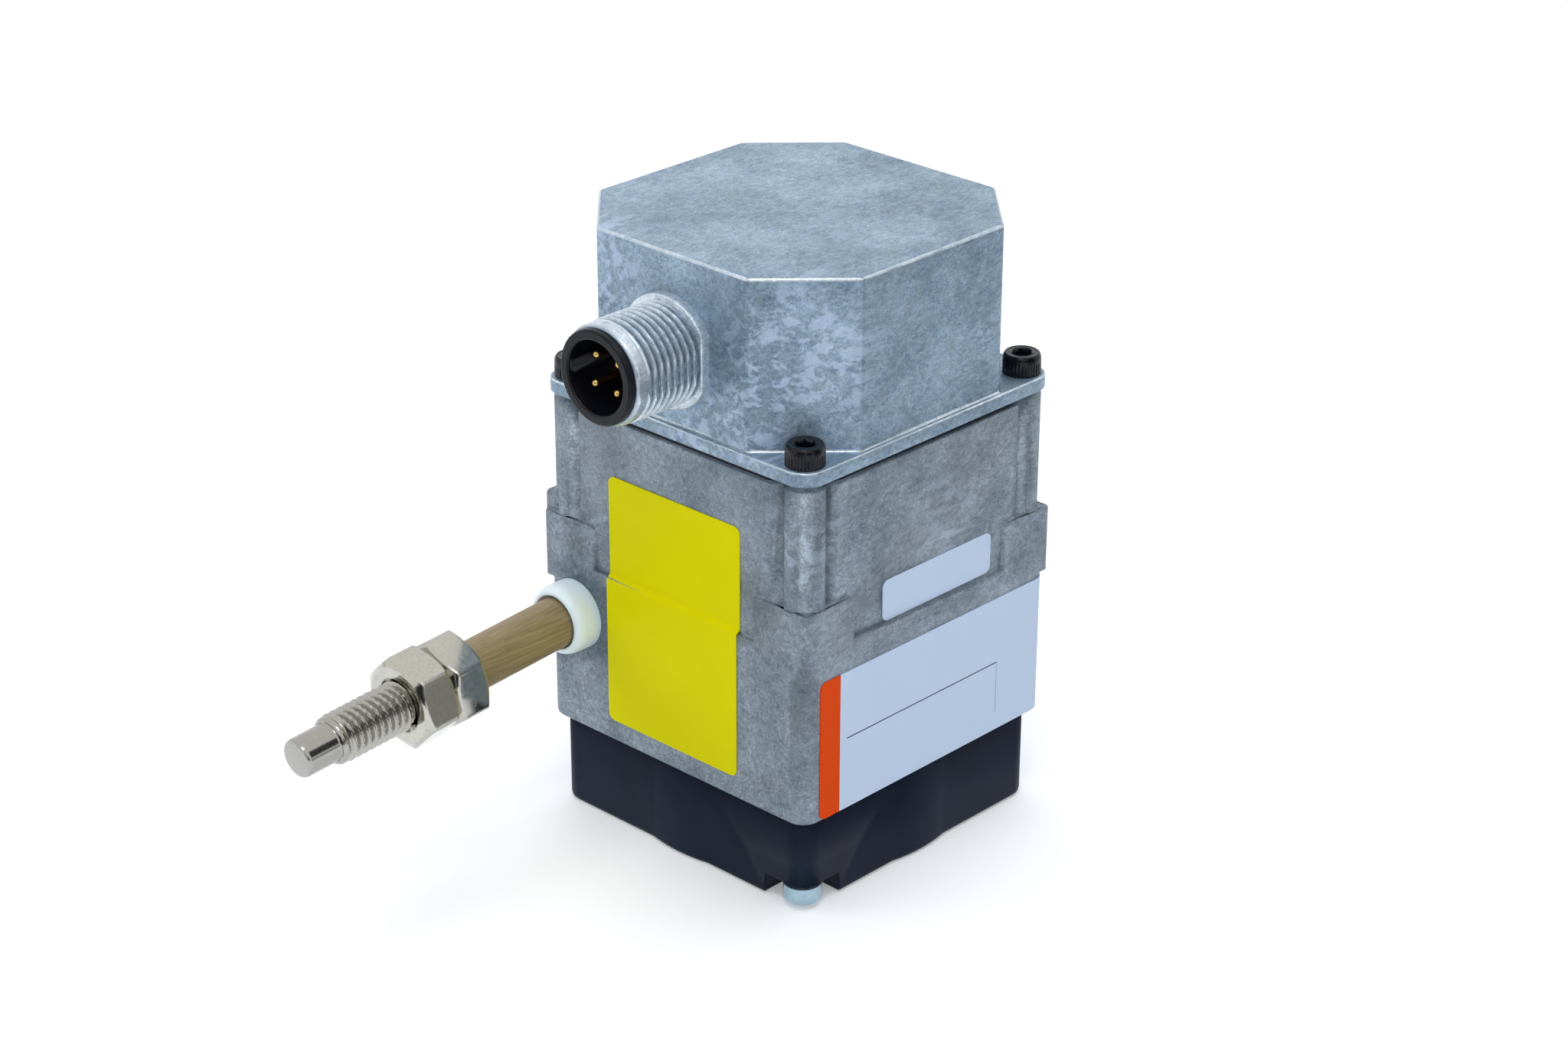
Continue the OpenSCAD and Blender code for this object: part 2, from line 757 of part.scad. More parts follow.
// The yellow label on the front, which follows the step in the wall
module yellow_label() {
    low_z = edge_z + yellow_low;
    bend = 0.6;
    color("#d8d200")
    intersection() {
        translate([0, 0, low_z])
            outward(0, 0, 0)
                linear_extrude(body_w)
                    label_outline(yellow_w, yellow_h);
        rotate([90, 0, -90])
            linear_extrude(body_w, center = true)
                polygon([
                    [body_half, low_z], [body_half + label_t, low_z], [body_half + label_t, step_z],
                    [upper_half + label_t, step_z + bend], [upper_half + label_t, low_z + yellow_h],
                    [upper_half, low_z + yellow_h], [upper_half, step_z + bend / 2], [body_half, step_z]
                ]);
    }
}

// The white type label on +X, folded round the rear corner
module type_label() {
    flat_l = body_w - type_front - corner_r;
    color("#dfe5ee")
    intersection() {
        translate([0, 0, edge_z + type_low])
            linear_extrude(type_h) {
                translate([body_half, -body_half + type_front])
                    square([label_t, flat_l]);
                translate([body_half - corner_r - type_fold, body_half])
                    square([type_fold, label_t]);
                translate([body_half - corner_r, body_half - corner_r])
                    intersection() {
                        difference() {
                            circle(corner_r + label_t);
                            circle(corner_r);
                        }
                        square(2 * corner_r);
                    }
            }
        // the rounded corners of its front end
        translate([0, -body_half + type_front, edge_z + type_low])
            rotate([90, 0, 90])
                linear_extrude(body_w)
                    translate([body_w / 2, 0])
                        label_outline(body_w, type_h);
    }
}

// The small white label on the upper wall on +X
module number_label() {
    color("#dfe5ee")
    translate([upper_half, number_y, step_z + 0.25])
        rotate([90, 0, 90])
            linear_extrude(label_t)
                label_outline(number_w, number_h);
}

// A ring of a ball bearing from radius a to radius b, with its groove for the balls
module bearing_ring(a, b) {
    race_r = (shaft_r + bearing_r) / 2;
    rotate_extrude()
        difference() {
            translate([a, 0])
                square([b - a, bearing_w]);
            translate([race_r, bearing_w / 2])
                circle(ball_r + 0.03);
        }
}

// Copies of a child at the floors of the lower and the upper bearing
module at_bearings() {
    for (z = [floor_z - bearing_w, shelf_z])
        translate([0, 0, z])
            children();
}

module bearing_outer_rings() {
    race_r = (shaft_r + bearing_r) / 2;
    color("#b9bec4")
    at_bearings()
        bearing_ring(race_r + 0.6 * ball_r, bearing_r);
}

module bearing_inner_rings() {
    race_r = (shaft_r + bearing_r) / 2;
    color("#b9bec4")
    at_bearings()
        bearing_ring(shaft_r + seat_gap, race_r - 0.6 * ball_r);
}

module bearing_balls() {
    race_r = (shaft_r + bearing_r) / 2;
    color("#d5d9de")
    at_bearings()
        for (i = [0:ball_count - 1])
            rotate([0, 0, i * 360 / ball_count])
                translate([race_r, 0, bearing_w / 2])
                    sphere(ball_r);
}

// The plate over the drum chamber, with a boss round the upper bearing
module bearing_plate() {
    color("#9aa0a6")
    difference() {
        union() {
            translate([0, 0, shelf_z])
                linear_extrude(bearing_plate_t)
                    eight_sided(cavity_half - slip_gap, cavity_cut);
            translate([0, 0, shelf_z])
                cylinder(r = bearing_r + 1.6, h = boss_z - shelf_z);
        }
        translate([0, 0, shelf_z - cut])
            cylinder(r = bearing_r + seat_gap, h = bearing_w + cut);
        translate([0, 0, shelf_z])
            cylinder(r = bearing_ledge_r, h = boss_z - shelf_z + cut);
        at_corners(spacer_pos)
            translate([0, 0, shelf_z - cut])
                cylinder(r = small_screw_r + slip_gap, h = bearing_plate_t + 2 * cut);
    }
}

// Four spacers whose studs hold the bearing plate down on the shelf
module spacers() {
    color("#c8a95a")
    at_corners(spacer_pos)
        difference() {
            union() {
                translate([0, 0, spacer_z])
                    cylinder(r = spacer_r, h = spacer_l);
                translate([0, 0, shelf_z - spacer_stud_l])
                    cylinder(r = small_screw_r, h = spacer_z - shelf_z + spacer_stud_l + cut);
            }
            translate([0, 0, spacer_z + spacer_l - small_screw_l - 1])
                cylinder(r = small_screw_r + thread_gap, h = small_screw_l + 1 + cut);
        }
}

// The plate that carries the potentiometer
module sensor_plate() {
    color("#aab0b6")
    translate([0, 0, sensor_z - sensor_plate_t])
        difference() {
            linear_extrude(sensor_plate_t)
                eight_sided(cavity_half - slip_gap, cavity_cut);
            translate([0, 0, -cut])
                cylinder(r = bushing_r + slip_gap, h = sensor_plate_t + 2 * cut);
            at_corners(spacer_pos)
                translate([0, 0, -cut])
                    cylinder(r = small_screw_r + slip_gap, h = sensor_plate_t + 2 * cut);
        }
}

// Four small screws down through the sensor plate into the spacers
module plate_screws() {
    color("#b9bec4")
    at_corners(spacer_pos)
        translate([0, 0, sensor_z])
            difference() {
                union() {
                    cylinder(r = small_head_r, h = small_head_h);
                    translate([0, 0, -sensor_plate_t - small_screw_l])
                        cylinder(r = small_screw_r, h = sensor_plate_t + small_screw_l + cut);
                }
                translate([-small_head_r - cut, -slot_w / 2, small_head_h - slot_depth])
                    cube([2 * (small_head_r + cut), slot_w, slot_depth + cut]);
            }
}

// The drum: a hollow barrel with two rims, on a web and a hub that sits between the bearings
module wire_drum() {
    barrel_r = wind_r - wire_r - 0.02;
    low = floor_z + drum_end_gap;
    high = shelf_z - drum_end_gap;
    inner_r = barrel_r - drum_wall_t;
    hub_r = hub_end_r + 2;
    web_z = (low + high - web_t) / 2;
    web_hole_pos = (inner_r + hub_r) / 2;
    web_hole_r = (inner_r - hub_r) / 2 - web_land;
    color("#c3c8cd")
    difference() {
        union() {
            translate([0, 0, low])
                cylinder(r = rim_r, h = rim_t, $fn = 96);
            translate([0, 0, high - rim_t])
                cylinder(r = rim_r, h = rim_t, $fn = 96);
            translate([0, 0, low])
                cylinder(r = barrel_r, h = high - low, $fn = 96);
        }
        difference() {
            translate([0, 0, low - cut])
                cylinder(r = inner_r, h = high - low + 2 * cut);
            translate([0, 0, low - 2 * cut])
                cylinder(r = hub_r, h = high - low + 4 * cut);
            translate([0, 0, web_z])
                cylinder(r = barrel_r, h = web_t);
        }
        translate([0, 0, low - cut])
            cylinder(r = shaft_r + seat_gap, h = high - low + 2 * cut);
        for (a = [0:60:300])
            rotate([0, 0, a])
                translate([web_hole_pos, 0, web_z - cut])
                    cylinder(r = web_hole_r, h = web_t + 2 * cut);
    }
}

// The wire on the drum, wound in close turns below the level at which it leaves
module wire_winding() {
    top = outlet_z - turn_pitch;
    color("#8b9095")
    rotate_extrude($fn = 96) {
        for (i = [0:turns - 1])
            translate([wind_r, top - i * turn_pitch])
                circle(wire_r, $fn = 16);
        translate([wind_r - wire_r, top - (turns - 1) * turn_pitch])
            square([wire_r * 0.9, (turns - 1) * turn_pitch]);
    }
}

// The shaft from the spring's arbor up into the coupling, with hub shoulders at the drum's ends
module drum_shaft() {
    low = base_t + spring_gap;
    color("#aeb4ba")
    union() {
        translate([0, 0, low])
            cylinder(r = shaft_r, h = coupling_z + (coupling_l - coupling_gap) / 2 - low);
        for (z = [floor_z, shelf_z - drum_end_gap])
            translate([0, 0, z])
                cylinder(r = hub_end_r, h = drum_end_gap);
    }
}

// The slotted sleeve on the shaft that the inner end of the spring hooks into
module spring_arbor() {
    arbor_h = strip_w + 1;
    color("#9aa0a6")
    translate([0, 0, base_t + spring_gap])
        difference() {
            cylinder(r = arbor_r, h = arbor_h);
            translate([0, 0, -cut])
                cylinder(r = shaft_r + seat_gap, h = arbor_h + 2 * cut);
            translate([shaft_r + strip_t * 2, -strip_t, -cut])
                cube([arbor_r, 2 * strip_t, arbor_h + 2 * cut]);
        }
}

// Radius of the spring's strip after t of its length, from 0 at the arbor to 1 at the outer wall
function strip_radius(t) = arbor_r + strip_t + t * (spring_room_r - arbor_r - 2.5 * strip_t);

// Point of the spring's strip after t of its length, moved outwards by side
function strip_point(t, side) =
    (strip_radius(t) + side) * [cos(t * 360 * spring_turns), sin(t * 360 * spring_turns)];

// The spiral power spring, hooked into the arbor's slot and into the slot of its housing
module power_spring() {
    steps = 24 * spring_turns;
    inner = strip_radius(0);
    outer = strip_radius(1);
    color("#5d646c")
    translate([0, 0, base_t + spring_gap + 0.5])
        linear_extrude(strip_w) {
            polygon([
                for (i = [0:steps]) strip_point(i / steps, strip_t / 2),
                for (i = [steps:-1:0]) strip_point(i / steps, -strip_t / 2)
            ]);
            translate([shaft_r + 0.9, -strip_t / 2])
                square([inner - shaft_r - 0.9 + strip_t / 2, strip_t]);
            translate([outer - strip_t / 2, -strip_t / 2])
                square([spring_room_r + 0.8 - outer, strip_t]);
        }
}

// The sleeve that joins the drum shaft to the potentiometer's shaft
module shaft_coupling() {
    color("#c3c8cd")
    difference() {
        translate([0, 0, coupling_z])
            cylinder(r = coupling_r, h = coupling_l);
        translate([0, 0, coupling_z - cut])
            cylinder(r = shaft_r + seat_gap, h = coupling_l + 2 * cut);
        for (part = [0.25, 0.75])
            translate([0, 0, coupling_z + part * coupling_l])
                rotate([0, 90, 0])
                    cylinder(r = small_screw_r + thread_gap, h = coupling_r + cut);
    }
}

// Two grub screws that grip the two shafts
module coupling_screws() {
    color("#1d1f24")
    for (part = [0.25, 0.75])
        translate([shaft_r + seat_gap, 0, coupling_z + part * coupling_l])
            rotate([0, 90, 0])
                difference() {
                    cylinder(r = small_screw_r, h = coupling_r - shaft_r - 0.4);
                    translate([0, 0, 2])
                        linear_extrude(coupling_r)
                            circle(r = small_screw_r / 2, $fn = 6);
                }
}

// The ten turn potentiometer with its threaded bushing
module potentiometer() {
    color("#31507c")
    difference() {
        union() {
            translate([0, 0, sensor_z])
                cylinder(r = pot_r, h = pot_l);
            translate([0, 0, sensor_z - bushing_l])
                cylinder(r = bushing_r, h = bushing_l + cut);
        }
        translate([0, 0, sensor_z - bushing_l - cut])
            cylinder(r = pot_shaft_r + slip_gap / 2, h = bushing_l + pot_shaft_depth + 2 * cut);
    }
}

// The nut on that bushing, under the plate
module potentiometer_nut() {
    color("#b9bec4")
    translate([0, 0, sensor_z - sensor_plate_t - bushing_nut_t])
        difference() {
            hexagon_nut(bushing_nut_w, bushing_nut_t);
            translate([0, 0, -cut])
                cylinder(r = bushing_r + thread_gap, h = bushing_nut_t + 2 * cut);
        }
}

module potentiometer_shaft() {
    low = coupling_z + (coupling_l + coupling_gap) / 2;
    color("#aeb4ba")
    translate([0, 0, low])
        cylinder(r = pot_shaft_r, h = sensor_z + pot_shaft_depth - low);
}

// Three leads from the potentiometer up to the board
module potentiometer_leads() {
    color("#b9913f")
    for (x = [-1, 0, 1])
        translate([x * pin_pitch, pot_r - 3, pot_top_z])
            cylinder(r = lead_r, h = board_z - pot_top_z);
}

// The circuit board under the cover's roof
module circuit_board() {
    color("#2f6b45")
    translate([0, 0, board_z])
        difference() {
            linear_extrude(board_t)
                eight_sided(board_half, cover_room_cut);
            at_corners(post_pos)
                translate([0, 0, -cut])
                    cylinder(r = small_screw_r + slip_gap, h = board_t + 2 * cut);
        }
}

// The larger components on the board's lower face
module board_components() {
    part_h = 1.2;
    chip_w = 8;
    chip_l = 6;
    block_l = 5;
    block_t = 2.5;
    color("#25282d")
    translate([0, 0, board_z - part_h]) {
        translate([-1.25 * chip_w, -chip_l])
            cube([chip_w, chip_l, part_h]);
        translate([chip_w / 2, -block_l])
            cube([block_l, block_l, part_h]);
        for (x = [-1, 1])
            translate([x * (board_half - 2 * block_t) - block_t / 2, block_t / 2])
                cube([block_t, block_l, part_h]);
    }
}

// Four screws up through the board into the posts
module board_screws() {
    color("#b9bec4")
    at_corners(post_pos) {
        translate([0, 0, board_z - small_head_h])
            cylinder(r = small_head_r, h = small_head_h);
        translate([0, 0, board_z - cut])
            cylinder(r = small_screw_r, h = cut + board_t + post_l + 0.8);
    }
}

// The wire from the drum out through the bush, then down the drooping sleeve into the stud
module draw_wire() {
    mouth_y = body_half + bush_out - mouth_depth;
    color("#8b9095")
    union() {
        outward(-wind_r, 0, outlet_z)
            cylinder(r = wire_r, h = mouth_y + wire_r / 2);
        wire_end_frame()
            cylinder(r = wire_r, h = nuts_start - 0.5);
    }
}

// The sleeve that buffers the wire end against the bush
module end_stop_sleeve() {
    color("#9a8158")
    wire_end_frame()
        translate([0, 0, sleeve_start])
            difference() {
                cylinder(r = sleeve_r, h = nuts_start - sleeve_start);
                translate([0, 0, -cut])
                    cylinder(r = sleeve_r - sleeve_t, h = nuts_start + 2 * cut);
            }
}

// The threaded stud: a shank that holds the wire, the thread and a plain tip with a small cross hole
module threaded_stud() {
    color("#8d9094")
    wire_end_frame()
        difference() {
            union() {
                translate([0, 0, nuts_start - shank_l])
                    cylinder(r = shank_r, h = shank_l + cut);
                translate([0, 0, nuts_start])
                    cylinder(r = meshed_r, h = thread_start - nuts_start + cut);
                translate([0, 0, thread_start])
                    cylinder(r = stud_r, h = thread_l - 0.5);
                translate([0, 0, tip_start - 0.5])
                    cylinder(r1 = stud_r, r2 = stud_r - 0.5, h = 0.5);
                translate([0, 0, tip_start])
                    cylinder(r = tip_r, h = tip_l - 0.4);
                translate([0, 0, tip_end - 0.4])
                    cylinder(r1 = tip_r, r2 = tip_r - 0.4, h = 0.4);
            }
            translate([0, 0, nuts_start - shank_l - cut])
                cylinder(r = wire_r + slip_gap / 2, h = shank_l + cut);
            translate([0, 0, tip_start + 1.2])
                rotate([0, 90, 0])
                    cylinder(r = tip_hole_r, h = 3 * stud_r, center = true);
        }
}

// A hexagon nut on the stud, from the given distance out and turned by the given angle
module stud_nut(start, turn) {
    wire_end_frame()
        translate([0, 0, start])
            rotate([0, 0, turn])
                difference() {
                    hexagon_nut(nut_w, nut_t);
                    translate([0, 0, -cut])
                        cylinder(r = meshed_r + thread_gap, h = nut_t + 2 * cut);
                }
}

module rear_nut() {
    color("#c4c9cb")
    stud_nut(nuts_start, rear_nut_turn);
}

module front_nut() {
    color("#c4c9cb")
    stud_nut(front_nut_start, front_nut_turn);
}

spring_housing();
spring_housing_screws();
drum_housing();
cover_gasket();
encoder_cover();
cover_screws();
contact_insert();
contact_pins();
connector_leads();
wire_outlet();
yellow_label();
type_label();
number_label();
bearing_plate();
spacers();
plate_screws();
sensor_plate();
bearing_outer_rings();
bearing_balls();
bearing_inner_rings();
wire_drum();
wire_winding();
drum_shaft();
spring_arbor();
power_spring();
shaft_coupling();
coupling_screws();
potentiometer();
potentiometer_nut();
potentiometer_shaft();
potentiometer_leads();
circuit_board();
board_components();
board_screws();
draw_wire();
end_stop_sleeve();
threaded_stud();
rear_nut();
front_nut();
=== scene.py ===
# %% [markdown]
# # A draw wire encoder, dressed for its portrait
# A draw wire encoder measures how far something moves. A thin wire is wound on a drum inside the
# square die-cast housing, a flat spring under it keeps the wire tight, and the drum's shaft turns a
# sensor under the eight sided cover. This lesson starts from the finished construction model, keeps
# every size of it, and adds what makes it look real: cast surfaces, cut threads, knurled heads,
# plated nuts and labels.

# %% Load the construction model
import json
from math import cos, pi, radians, sin, sqrt, tan

import bmesh
import bpy
import numpy as np
from mathutils import Matrix, Vector


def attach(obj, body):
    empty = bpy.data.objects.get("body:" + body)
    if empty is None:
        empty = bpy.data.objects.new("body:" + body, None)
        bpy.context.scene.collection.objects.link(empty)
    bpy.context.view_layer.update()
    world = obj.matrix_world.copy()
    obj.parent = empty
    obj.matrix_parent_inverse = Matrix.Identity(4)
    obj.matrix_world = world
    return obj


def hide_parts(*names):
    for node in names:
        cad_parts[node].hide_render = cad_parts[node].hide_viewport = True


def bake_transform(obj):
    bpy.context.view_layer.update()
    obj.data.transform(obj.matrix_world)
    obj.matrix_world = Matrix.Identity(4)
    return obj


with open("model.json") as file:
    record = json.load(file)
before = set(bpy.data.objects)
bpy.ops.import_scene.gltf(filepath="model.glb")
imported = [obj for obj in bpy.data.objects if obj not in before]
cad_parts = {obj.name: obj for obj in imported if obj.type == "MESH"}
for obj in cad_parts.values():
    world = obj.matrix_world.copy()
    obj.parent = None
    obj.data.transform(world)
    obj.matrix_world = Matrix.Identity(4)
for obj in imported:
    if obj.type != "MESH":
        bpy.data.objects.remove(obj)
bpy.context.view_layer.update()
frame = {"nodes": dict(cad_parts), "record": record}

MM = 0.001
scene = bpy.context.scene
nodes = frame["nodes"]

# %% [markdown]
# ## Camera
# The picture is taken from the front right and a little above. The camera's place, direction and
# focal length come from a fit of known corners of the model to their places in the photograph, so
# the picture and the model can be compared point by point. The slight roll is the photographer's.

# %% Place the camera
CAMERA_PLACE = Vector((252.76, -269.37, 207.90)) * MM
CAMERA_YAW, CAMERA_PITCH, CAMERA_ROLL = radians(43.42), radians(24.94), radians(0.22)

forward = Vector((-sin(CAMERA_YAW) * cos(CAMERA_PITCH), cos(CAMERA_YAW) * cos(CAMERA_PITCH), -sin(CAMERA_PITCH)))
level_right = forward.cross(Vector((0, 0, 1))).normalized()
level_up = level_right.cross(forward)
right = level_right * cos(CAMERA_ROLL) + level_up * sin(CAMERA_ROLL)
up = level_up * cos(CAMERA_ROLL) - level_right * sin(CAMERA_ROLL)

camera_data = bpy.data.cameras.new("camera")
camera_data.sensor_width = 36
camera_data.lens = 79.53
camera_data.clip_start, camera_data.clip_end = 10 * MM, 20
camera = bpy.data.objects.new("camera", camera_data)
camera.matrix_world = Matrix.Translation(CAMERA_PLACE) @ Matrix((right, up, -forward)).transposed().to_4x4()
scene.collection.objects.link(camera)
scene.camera = camera
print("camera at", [round(v / MM) for v in CAMERA_PLACE], "mm")

# %% [markdown]
# ## Two small helpers for materials
# Blender works with linear light, while colours are usually noted as sRGB hex values, as on a
# web page. One function converts them. A second one adds a shader node with its settings and links in
# one call, which keeps each material short enough to read as a recipe.

# %% Colour and node helpers
def linear(hex_colour):
    """An sRGB hex colour as linear RGBA: each channel is divided by 12.92 if it is small, and
    otherwise gets 0.055 added, is divided by 1.055 and raised to the power 2.4."""
    channels = [int(hex_colour[i:i + 2], 16) / 255 for i in (1, 3, 5)]
    return tuple(c / 12.92 if c <= 0.04045 else ((c + 0.055) / 1.055) ** 2.4 for c in channels) + (1.0,)


def add_node(tree, kind, inputs=None, **settings):
    """Adds a shader node. Settings are its properties, and inputs are numbers, colours or links."""
    node = tree.nodes.new(kind)
    for key, value in settings.items():
        setattr(node, key, value)
    for key, value in (inputs or {}).items():
        if isinstance(value, bpy.types.NodeSocket):
            tree.links.new(value, node.inputs[key])
        else:
            node.inputs[key].default_value = value
    return node


def new_material(name, **shader_inputs):
    """A material with a Principled shader. Returns it, its tree, its shader and the object's own
    coordinates, which are in metres."""
    material = bpy.data.materials.new(name)
    material.use_nodes = True
    tree = material.node_tree
    shader = tree.nodes["Principled BSDF"]
    for key, value in shader_inputs.items():
        shader.inputs[key.replace("_", " ")].default_value = value
    place = add_node(tree, "ShaderNodeTexCoord").outputs["Object"]
    return material, tree, shader, place


def per(size_mm):
    """The scale of a noise whose features are size_mm across, because coordinates are in metres."""
    return 1 / (size_mm * MM)


def set_ramp(ramp, stops):
    """Gives a colour ramp its stops, a list of (place, colour)."""
    elements = ramp.color_ramp.elements
    while len(elements) < len(stops):
        elements.new(0.5)
    for element, (place, colour) in zip(elements, stops):
        element.position = place
        element.color = colour


# %% [markdown]
# ## Floor, daylight and background
# A product photograph is taken in a white room with large soft lamps. The floor is a pale sheet
# that still shows the soft shadow of the housing. For the camera, and for reflections, the world is
# white with strength 1, and for everything else it is a dimmer, even light. The lamps light the
# object but aren't mirrored, except for one small light above that draws bright lines on rounded
# edges. So bright metal mirrors the white room, the object and a few dark cards. Photographers
# place such cards because bright metal without them looks like chalk.

# %% Build the studio
def plain_mesh(name, points, faces):
    """An object from points in metres and faces."""
    mesh = bpy.data.meshes.new(name)
    mesh.from_pydata([tuple(p) for p in points], [], [tuple(f) for f in faces])
    made = bpy.data.objects.new(name, mesh)
    scene.collection.objects.link(made)
    return made


FLOOR_HALF = 3.0
floor_z = -0.03 * MM
floor = plain_mesh("floor", [(x, y, floor_z) for x, y in
                             ((-FLOOR_HALF, -FLOOR_HALF), (FLOOR_HALF, -FLOOR_HALF), (FLOOR_HALF, FLOOR_HALF), (-FLOOR_HALF, FLOOR_HALF))],
                   [(0, 1, 2, 3)])
paper, tree, shader, _ = new_material("white_paper", Base_Color=linear("#eeeeee"), Roughness=0.9, Specular_IOR_Level=0.1)
rays = add_node(tree, "ShaderNodeLightPath")
seen = add_node(tree, "ShaderNodeMath", {0: rays.outputs["Is Camera Ray"], 1: rays.outputs["Is Glossy Ray"]}, operation="MAXIMUM")
seen = add_node(tree, "ShaderNodeMath", {0: seen.outputs[0], 1: rays.outputs["Is Transmission Ray"]}, operation="MAXIMUM")
FLOOR_LIFT = 0.25
lift = add_node(tree, "ShaderNodeMath", {0: seen.outputs[0], 1: FLOOR_LIFT}, operation="MULTIPLY")
shader.inputs["Emission Color"].default_value = linear("#ffffff")
tree.links.new(lift.outputs[0], shader.inputs["Emission Strength"])
floor.data.materials.append(paper)

world = bpy.data.worlds.new("white_room")
world.use_nodes = True
tree = world.node_tree
tree.nodes.clear()
rays = add_node(tree, "ShaderNodeLightPath")
seen = add_node(tree, "ShaderNodeMath", {0: rays.outputs["Is Camera Ray"], 1: rays.outputs["Is Glossy Ray"]}, operation="MAXIMUM")
seen = add_node(tree, "ShaderNodeMath", {0: seen.outputs[0], 1: rays.outputs["Is Transmission Ray"]}, operation="MAXIMUM")
AMBIENT = 0.42
dim = add_node(tree, "ShaderNodeBackground", {"Color": linear("#eef3fa"), "Strength": AMBIENT})
white = add_node(tree, "ShaderNodeBackground", {"Color": linear("#ffffff"), "Strength": 1.0})
mixed = add_node(tree, "ShaderNodeMixShader", {0: seen.outputs[0], 1: dim.outputs[0], 2: white.outputs[0]})
add_node(tree, "ShaderNodeOutputWorld", {"Surface": mixed.outputs[0]})
scene.world = world

# name, place in mm, aim in mm, width and height in mm, power in watts, colour, mirrored or not
LAMPS = [
    ("top_softbox", (-60, 120, 620), (0, 0, 40), (520, 520), 2.7, "#f4f8ff", False),
    ("left_softbox", (-480, -420, 330), (0, -10, 40), (360, 420), 1.2, "#f8faff", False),
    ("right_softbox", (560, -60, 300), (0, 0, 40), (260, 420), 0.25, "#f1f6ff", False),
    ("front_softbox", (330, -370, 240), (0, 0, 50), (220, 220), 0.4, "#f4f8ff", False),
    ("edge_light", (150, -210, 520), (0, 0, 60), (150, 150), 0.45, "#ffffff", True),
]
for name, place, aim, size, power, colour, mirrored in LAMPS:
    light = bpy.data.lights.new(name, "AREA")
    light.shape = "RECTANGLE"
    light.size, light.size_y = size[0] * MM, size[1] * MM
    light.energy = power
    light.color = linear(colour)[:3]
    lamp = bpy.data.objects.new(name, light)
    lamp.visible_glossy = mirrored
    lamp.location = Vector(place) * MM
    lamp.rotation_euler = (Vector(aim) - Vector(place)).to_track_quat("-Z", "Y").to_euler()
    scene.collection.objects.link(lamp)

dark_card, _, _, _ = new_material("dark_card", Base_Color=linear("#2e3034"), Roughness=0.95)
grey_card, _, _, _ = new_material("grey_card", Base_Color=linear("#a4a39c"), Roughness=0.95)
# name, centre in mm, half width along the floor and half height in mm; each card faces the object
CARDS = [
    ("card_front", (230, -760, 150), 330, 150), ("card_right", (760, -300, 120), 200, 160),
    ("card_behind", (100, 23, 85), 36, 45), ("card_near_nuts", (30, -135, 14), 60, 14), ("card_right_low", (118, 40, 13), 55, 13),
]
for name, centre, half_width, half_height in CARDS:
    centre = Vector(centre) * MM
    side = Vector((-centre.y, centre.x, 0)).normalized() * half_width * MM
    rise = Vector((0, 0, half_height * MM))
    card = plain_mesh(name, [centre - side - rise, centre + side - rise, centre + side + rise, centre - side + rise], [(0, 1, 2, 3)])
    card.data.materials.append(grey_card if name == "card_right_low" else dark_card)
    card.visible_camera = False
    card.visible_shadow = False
    card.visible_diffuse = False
scene.view_settings.view_transform = "Standard"
print("lamps:", len(LAMPS), "- cards:", len(CARDS))

# %% [markdown]
# ## Die-cast zinc
# The housing and the cover are zinc, shot into a steel mould under pressure. The metal is left as it
# comes out: satin, bluish, and marked all over. The recipe layers the marks at their real sizes:
#
# - clouds of about 7 mm, where the metal cooled at different speeds, partly with a greenish tint,
# - a mottle of about 1 mm and a grain of a quarter of a millimetre, which cover everything,
# - short dark cold-flow lines, drawn out along the stream of the metal,
# - pale crystal flakes, a few millimetres long with feathery edges. They show where the metal came
#   in, so each casting has a list of zones for them.
#
# A shallow bump follows the grain and the lines, so that the marks change with the light.

